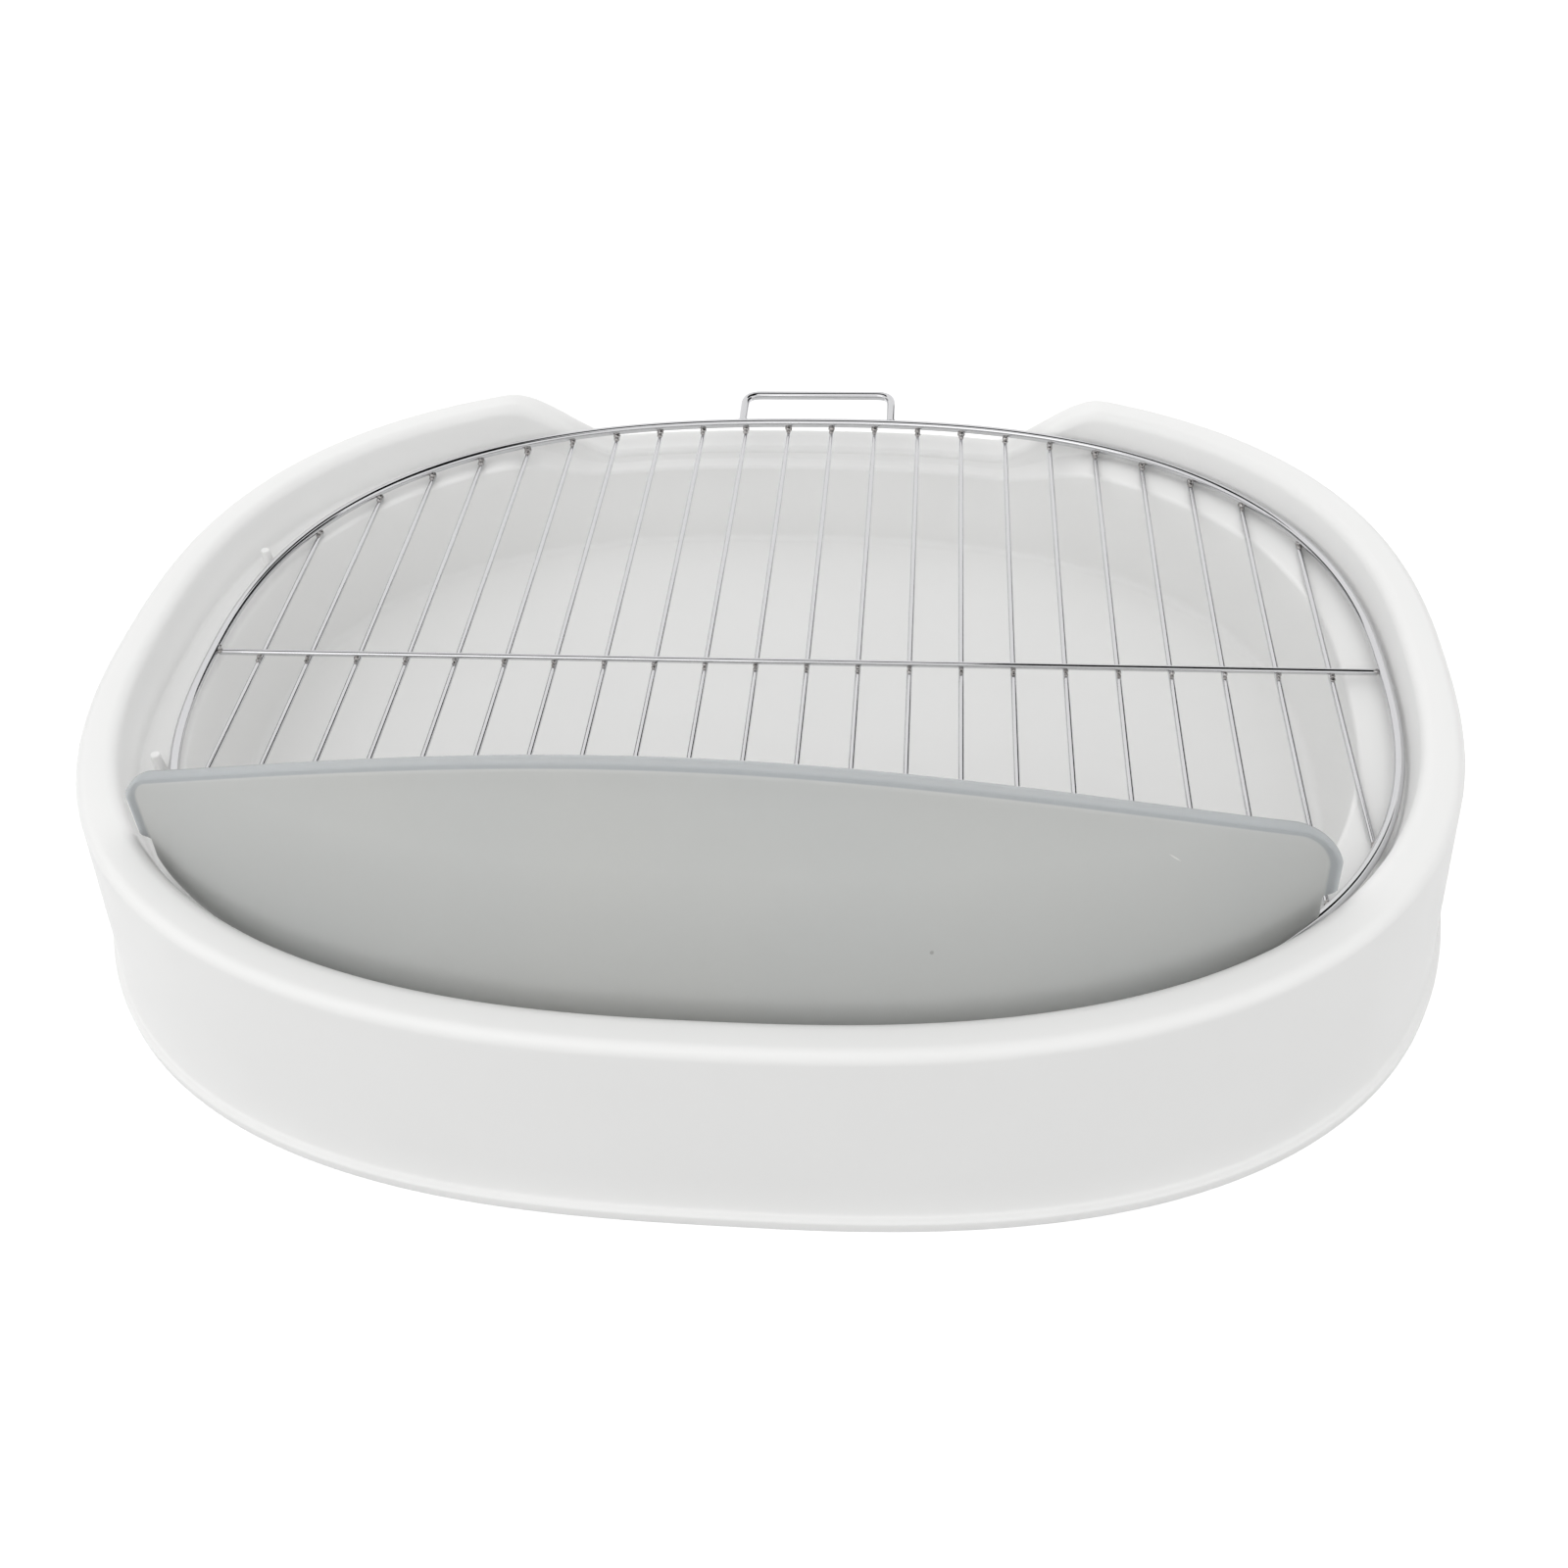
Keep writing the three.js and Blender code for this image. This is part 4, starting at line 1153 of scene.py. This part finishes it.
        # The numbers of the points on the front and on the back, by column and row
        fore, aft = np.arange(len(points)).reshape(2, columns + 1, rows + 1).tolist()
        faces = []
        for c in range(columns):
            d = c + 1
            for r in range(rows):
                faces.append((fore[c][r], fore[d][r], fore[d][r + 1], fore[c][r + 1]))
                faces.append((aft[c][r], aft[c][r + 1], aft[d][r + 1], aft[d][r]))
            faces.append((fore[c][0], aft[c][0], aft[d][0], fore[d][0]))
        outline = [(0, r) for r in range(rows)]
        outline += [(c, rows) for c in range(columns + 1)]
        outline += [(columns, r) for r in reversed(range(rows))]
        sections = []
        for i, (c, r) in enumerate(outline):
            before, after = outline[max(0, i - 1)], outline[min(len(outline) - 1, i + 1)]
            along = front[after] - front[before]
            along /= np.linalg.norm(along)
            made = self.lip(front[c, r], along, backward[c, r], back[c, r])
            start = len(points)
            points += made
            sections.append([fore[c][r], *range(start, start + len(made)), aft[c][r]])
        for here, following in zip(sections, sections[1:]):
            for k in range(len(here) - 1):
                faces.append((here[k], following[k], following[k + 1], here[k + 1]))
        faces += [tuple(sections[0]), tuple(reversed(sections[-1]))]
        points = placed(points, self.s.wall_gap - self.s.side_play, self.s.turn)
        piece = new_object("guard_panel", points, faces, sharp=math.radians(45))
        shares = np.zeros(len(points))
        for section in sections:
            shares[section[1:-1]] = self.lip_shares
        layer = piece.data.attributes.new("lip_share", "FLOAT", "POINT")
        layer.data.foreach_set("value", shares)
        material = frosted_polypropylene(self.s.plastic)
        finish_piece(piece, material, "guard", ["splash_guard"])
        return {"FINISHED"}


class TRAY_OT_stage(bpy.types.Operator):
    """Set up the floor, the soft studio light and the photograph's camera"""

    bl_idname = "tray.stage"
    bl_label = "Stage"

    floor_reach = 6.0
    # The soft lamp at the left front, on its stand, and the width and height of its box
    key_place, key_size = (-0.55, -1.2, 1.2), (0.9, 0.32)
    # Where each upright flag stands, from its near to its far corner, and its lower edge
    right_stand = ((1.0, 1.5), (1.8, 0.0))
    left_stand = ((-1.2, 1.3), (-1.8, 0.0))
    flag_foot = 0.06
    # How far the flags over the tray reach to either side
    over_reach = 1.2
    flag_black = (0.003, 0.003, 0.003, 1)
    # The tent's light changes between these heights of a ray's direction
    tent_low, tent_high = 0.1, 0.5

    def key(self, s):
        """Hang a soft box that points at the tray."""
        light = bpy.data.lights.new("key", "AREA")
        light.shape, light.energy = "RECTANGLE", s.key_power
        light.size, light.size_y = self.key_size
        made = linked("key", light)
        made.location = self.key_place
        made.rotation_euler = (-Vector(self.key_place)).to_track_quat("-Z", "Y").to_euler()

    def flag(self, name, corners):
        """Hang a flat black flag. Only metal and gloss see it."""
        made = new_object(name, corners, [(0, 1, 2, 3)])
        made.data.materials.append(self.black)
        made.visible_camera = made.visible_diffuse = made.visible_transmission = False
        made.visible_volume_scatter = made.visible_shadow = False

    def flags(self, f):
        """Stand a flag at each side of the white back, and hang two over the tray."""
        self.black = bpy.data.materials.new("black_flag")
        self.black.use_nodes = True
        tree = self.black.node_tree
        tree.nodes.clear()
        end_material(self.black, node(tree, "ShaderNodeBsdfDiffuse", {"Color": self.flag_black}))
        low = self.flag_foot
        for name, (near, far), top in (
            ("right_flag", self.right_stand, f.right_height),
            ("left_flag", self.left_stand, f.left_height),
        ):
            self.flag(name, [(*near, low), (*far, low), (*far, top), (*near, top)])
        z = f.over_height
        for name, x1, x2, y1, y2 in (
            ("narrow_flag", -self.over_reach, f.wide_left, f.band_front, f.band_back),
            ("wide_flag", f.wide_left, self.over_reach, f.wide_front, f.wide_back),
        ):
            self.flag(name, [(x1, y1, z), (x2, y1, z), (x2, y2, z), (x1, y2, z)])

    def world(self, s):
        """Make a light tent: white to see and in mirrors, and a little brighter at the left."""
        world = bpy.data.worlds.new("studio")
        world.use_nodes = True
        tree = world.node_tree
        tree.nodes.clear()
        place = node(tree, "ShaderNodeTexCoord")
        toward = node(tree, "ShaderNodeSeparateXYZ", {0: place.outputs["Object"]}).outputs
        heights = {"Value": toward["Z"], "From Min": self.tent_low, "From Max": self.tent_high}
        strengths = {"To Min": s.low_light, "To Max": s.high_light}
        tent = node(tree, "ShaderNodeMapRange", heights | strengths)
        sides = {"Value": toward["X"], "From Min": -1.0, "From Max": 1.0}
        strengths = {"To Min": 1 + s.side_tilt, "To Max": 1 - s.side_tilt}
        aside = node(tree, "ShaderNodeMapRange", sides | strengths)
        tent = node(tree, "ShaderNodeMath", {0: tent, 1: aside}, operation="MULTIPLY")
        # Directly seen it is plain white
        links = {"Value": seen_directly(tree), "To Min": tent, "To Max": 1.0}
        level = node(tree, "ShaderNodeMapRange", links)
        sky = node(tree, "ShaderNodeBackground", {"Color": WHITE, "Strength": level})
        node(tree, "ShaderNodeOutputWorld", {"Surface": sky})
        bpy.context.scene.world = world

    def camera(self, s):
        data = bpy.data.cameras.new("camera")
        data.lens, data.sensor_width = s.lens, 36
        data.clip_start, data.clip_end = 0.01, 50
        made = linked("camera", data)
        az, el = s.azimuth, s.elevation
        level = math.cos(el)
        back = Vector((math.sin(az) * level, -math.cos(az) * level, math.sin(el)))
        right = Vector((math.cos(az), math.sin(az), 0))
        up = back.cross(right)
        c, d = math.cos(s.roll), math.sin(s.roll)
        axes = Matrix((right * c + up * d, up * c - right * d, back)).transposed()
        made.matrix_world = Matrix.Translation(s.camera_place) @ axes.to_4x4()
        bpy.context.scene.camera = made

    def execute(self, context):
        s, far = context.scene.tray_stage, self.floor_reach
        corners = [(-far, -far, 0), (far, -far, 0), (far, far, 0), (-far, far, 0)]
        floor = new_object("floor", corners, [(0, 1, 2, 3)])
        floor.data.materials.append(floor_paper(s.floor))
        self.world(s)
        self.flags(context.scene.tray_flags)
        self.key(s)
        self.camera(s)
        context.scene.view_settings.view_transform = "Standard"
        return {"FINISHED"}


class TRAY_PT_sidebar(bpy.types.Panel):
    """Lists the tray's pieces and their sizes"""

    bl_label = "Dog Potty Tray"
    bl_idname = "TRAY_PT_sidebar"
    bl_space_type = "VIEW_3D"
    bl_region_type = "UI"
    bl_category = "Tray"

    def draw(self, context):
        for operator in OPERATORS:
            self.layout.operator(operator.bl_idname)
        for name, kind in SETTINGS.items():
            box = self.layout.box()
            box.label(text=name.replace("tray_", "").capitalize())
            for key in kind.__annotations__:
                box.prop(getattr(context.scene, name), key)


OPERATORS = (
    TRAY_OT_stage,
    TRAY_OT_basin,
    TRAY_OT_ring,
    TRAY_OT_crossbar,
    TRAY_OT_thin_wires,
    TRAY_OT_handle,
    TRAY_OT_welds,
    TRAY_OT_guard,
)


def register():
    for kind in (*SETTINGS.values(), *OPERATORS, TRAY_PT_sidebar):
        bpy.utils.register_class(kind)
    for name, kind in SETTINGS.items():
        setattr(bpy.types.Scene, name, bpy.props.PointerProperty(type=kind))


def unregister():
    for name in SETTINGS:
        delattr(bpy.types.Scene, name)
    for kind in reversed((*SETTINGS.values(), *OPERATORS, TRAY_PT_sidebar)):
        bpy.utils.unregister_class(kind)


def main():
    """Build every piece."""
    register()
    bpy.ops.tray.stage()
    bpy.ops.tray.basin()
    bpy.ops.tray.ring()
    bpy.ops.tray.crossbar()
    bpy.ops.tray.thin_wires()
    bpy.ops.tray.handle()
    bpy.ops.tray.welds()
    bpy.ops.tray.guard()


if __name__ == "__main__":
    main()
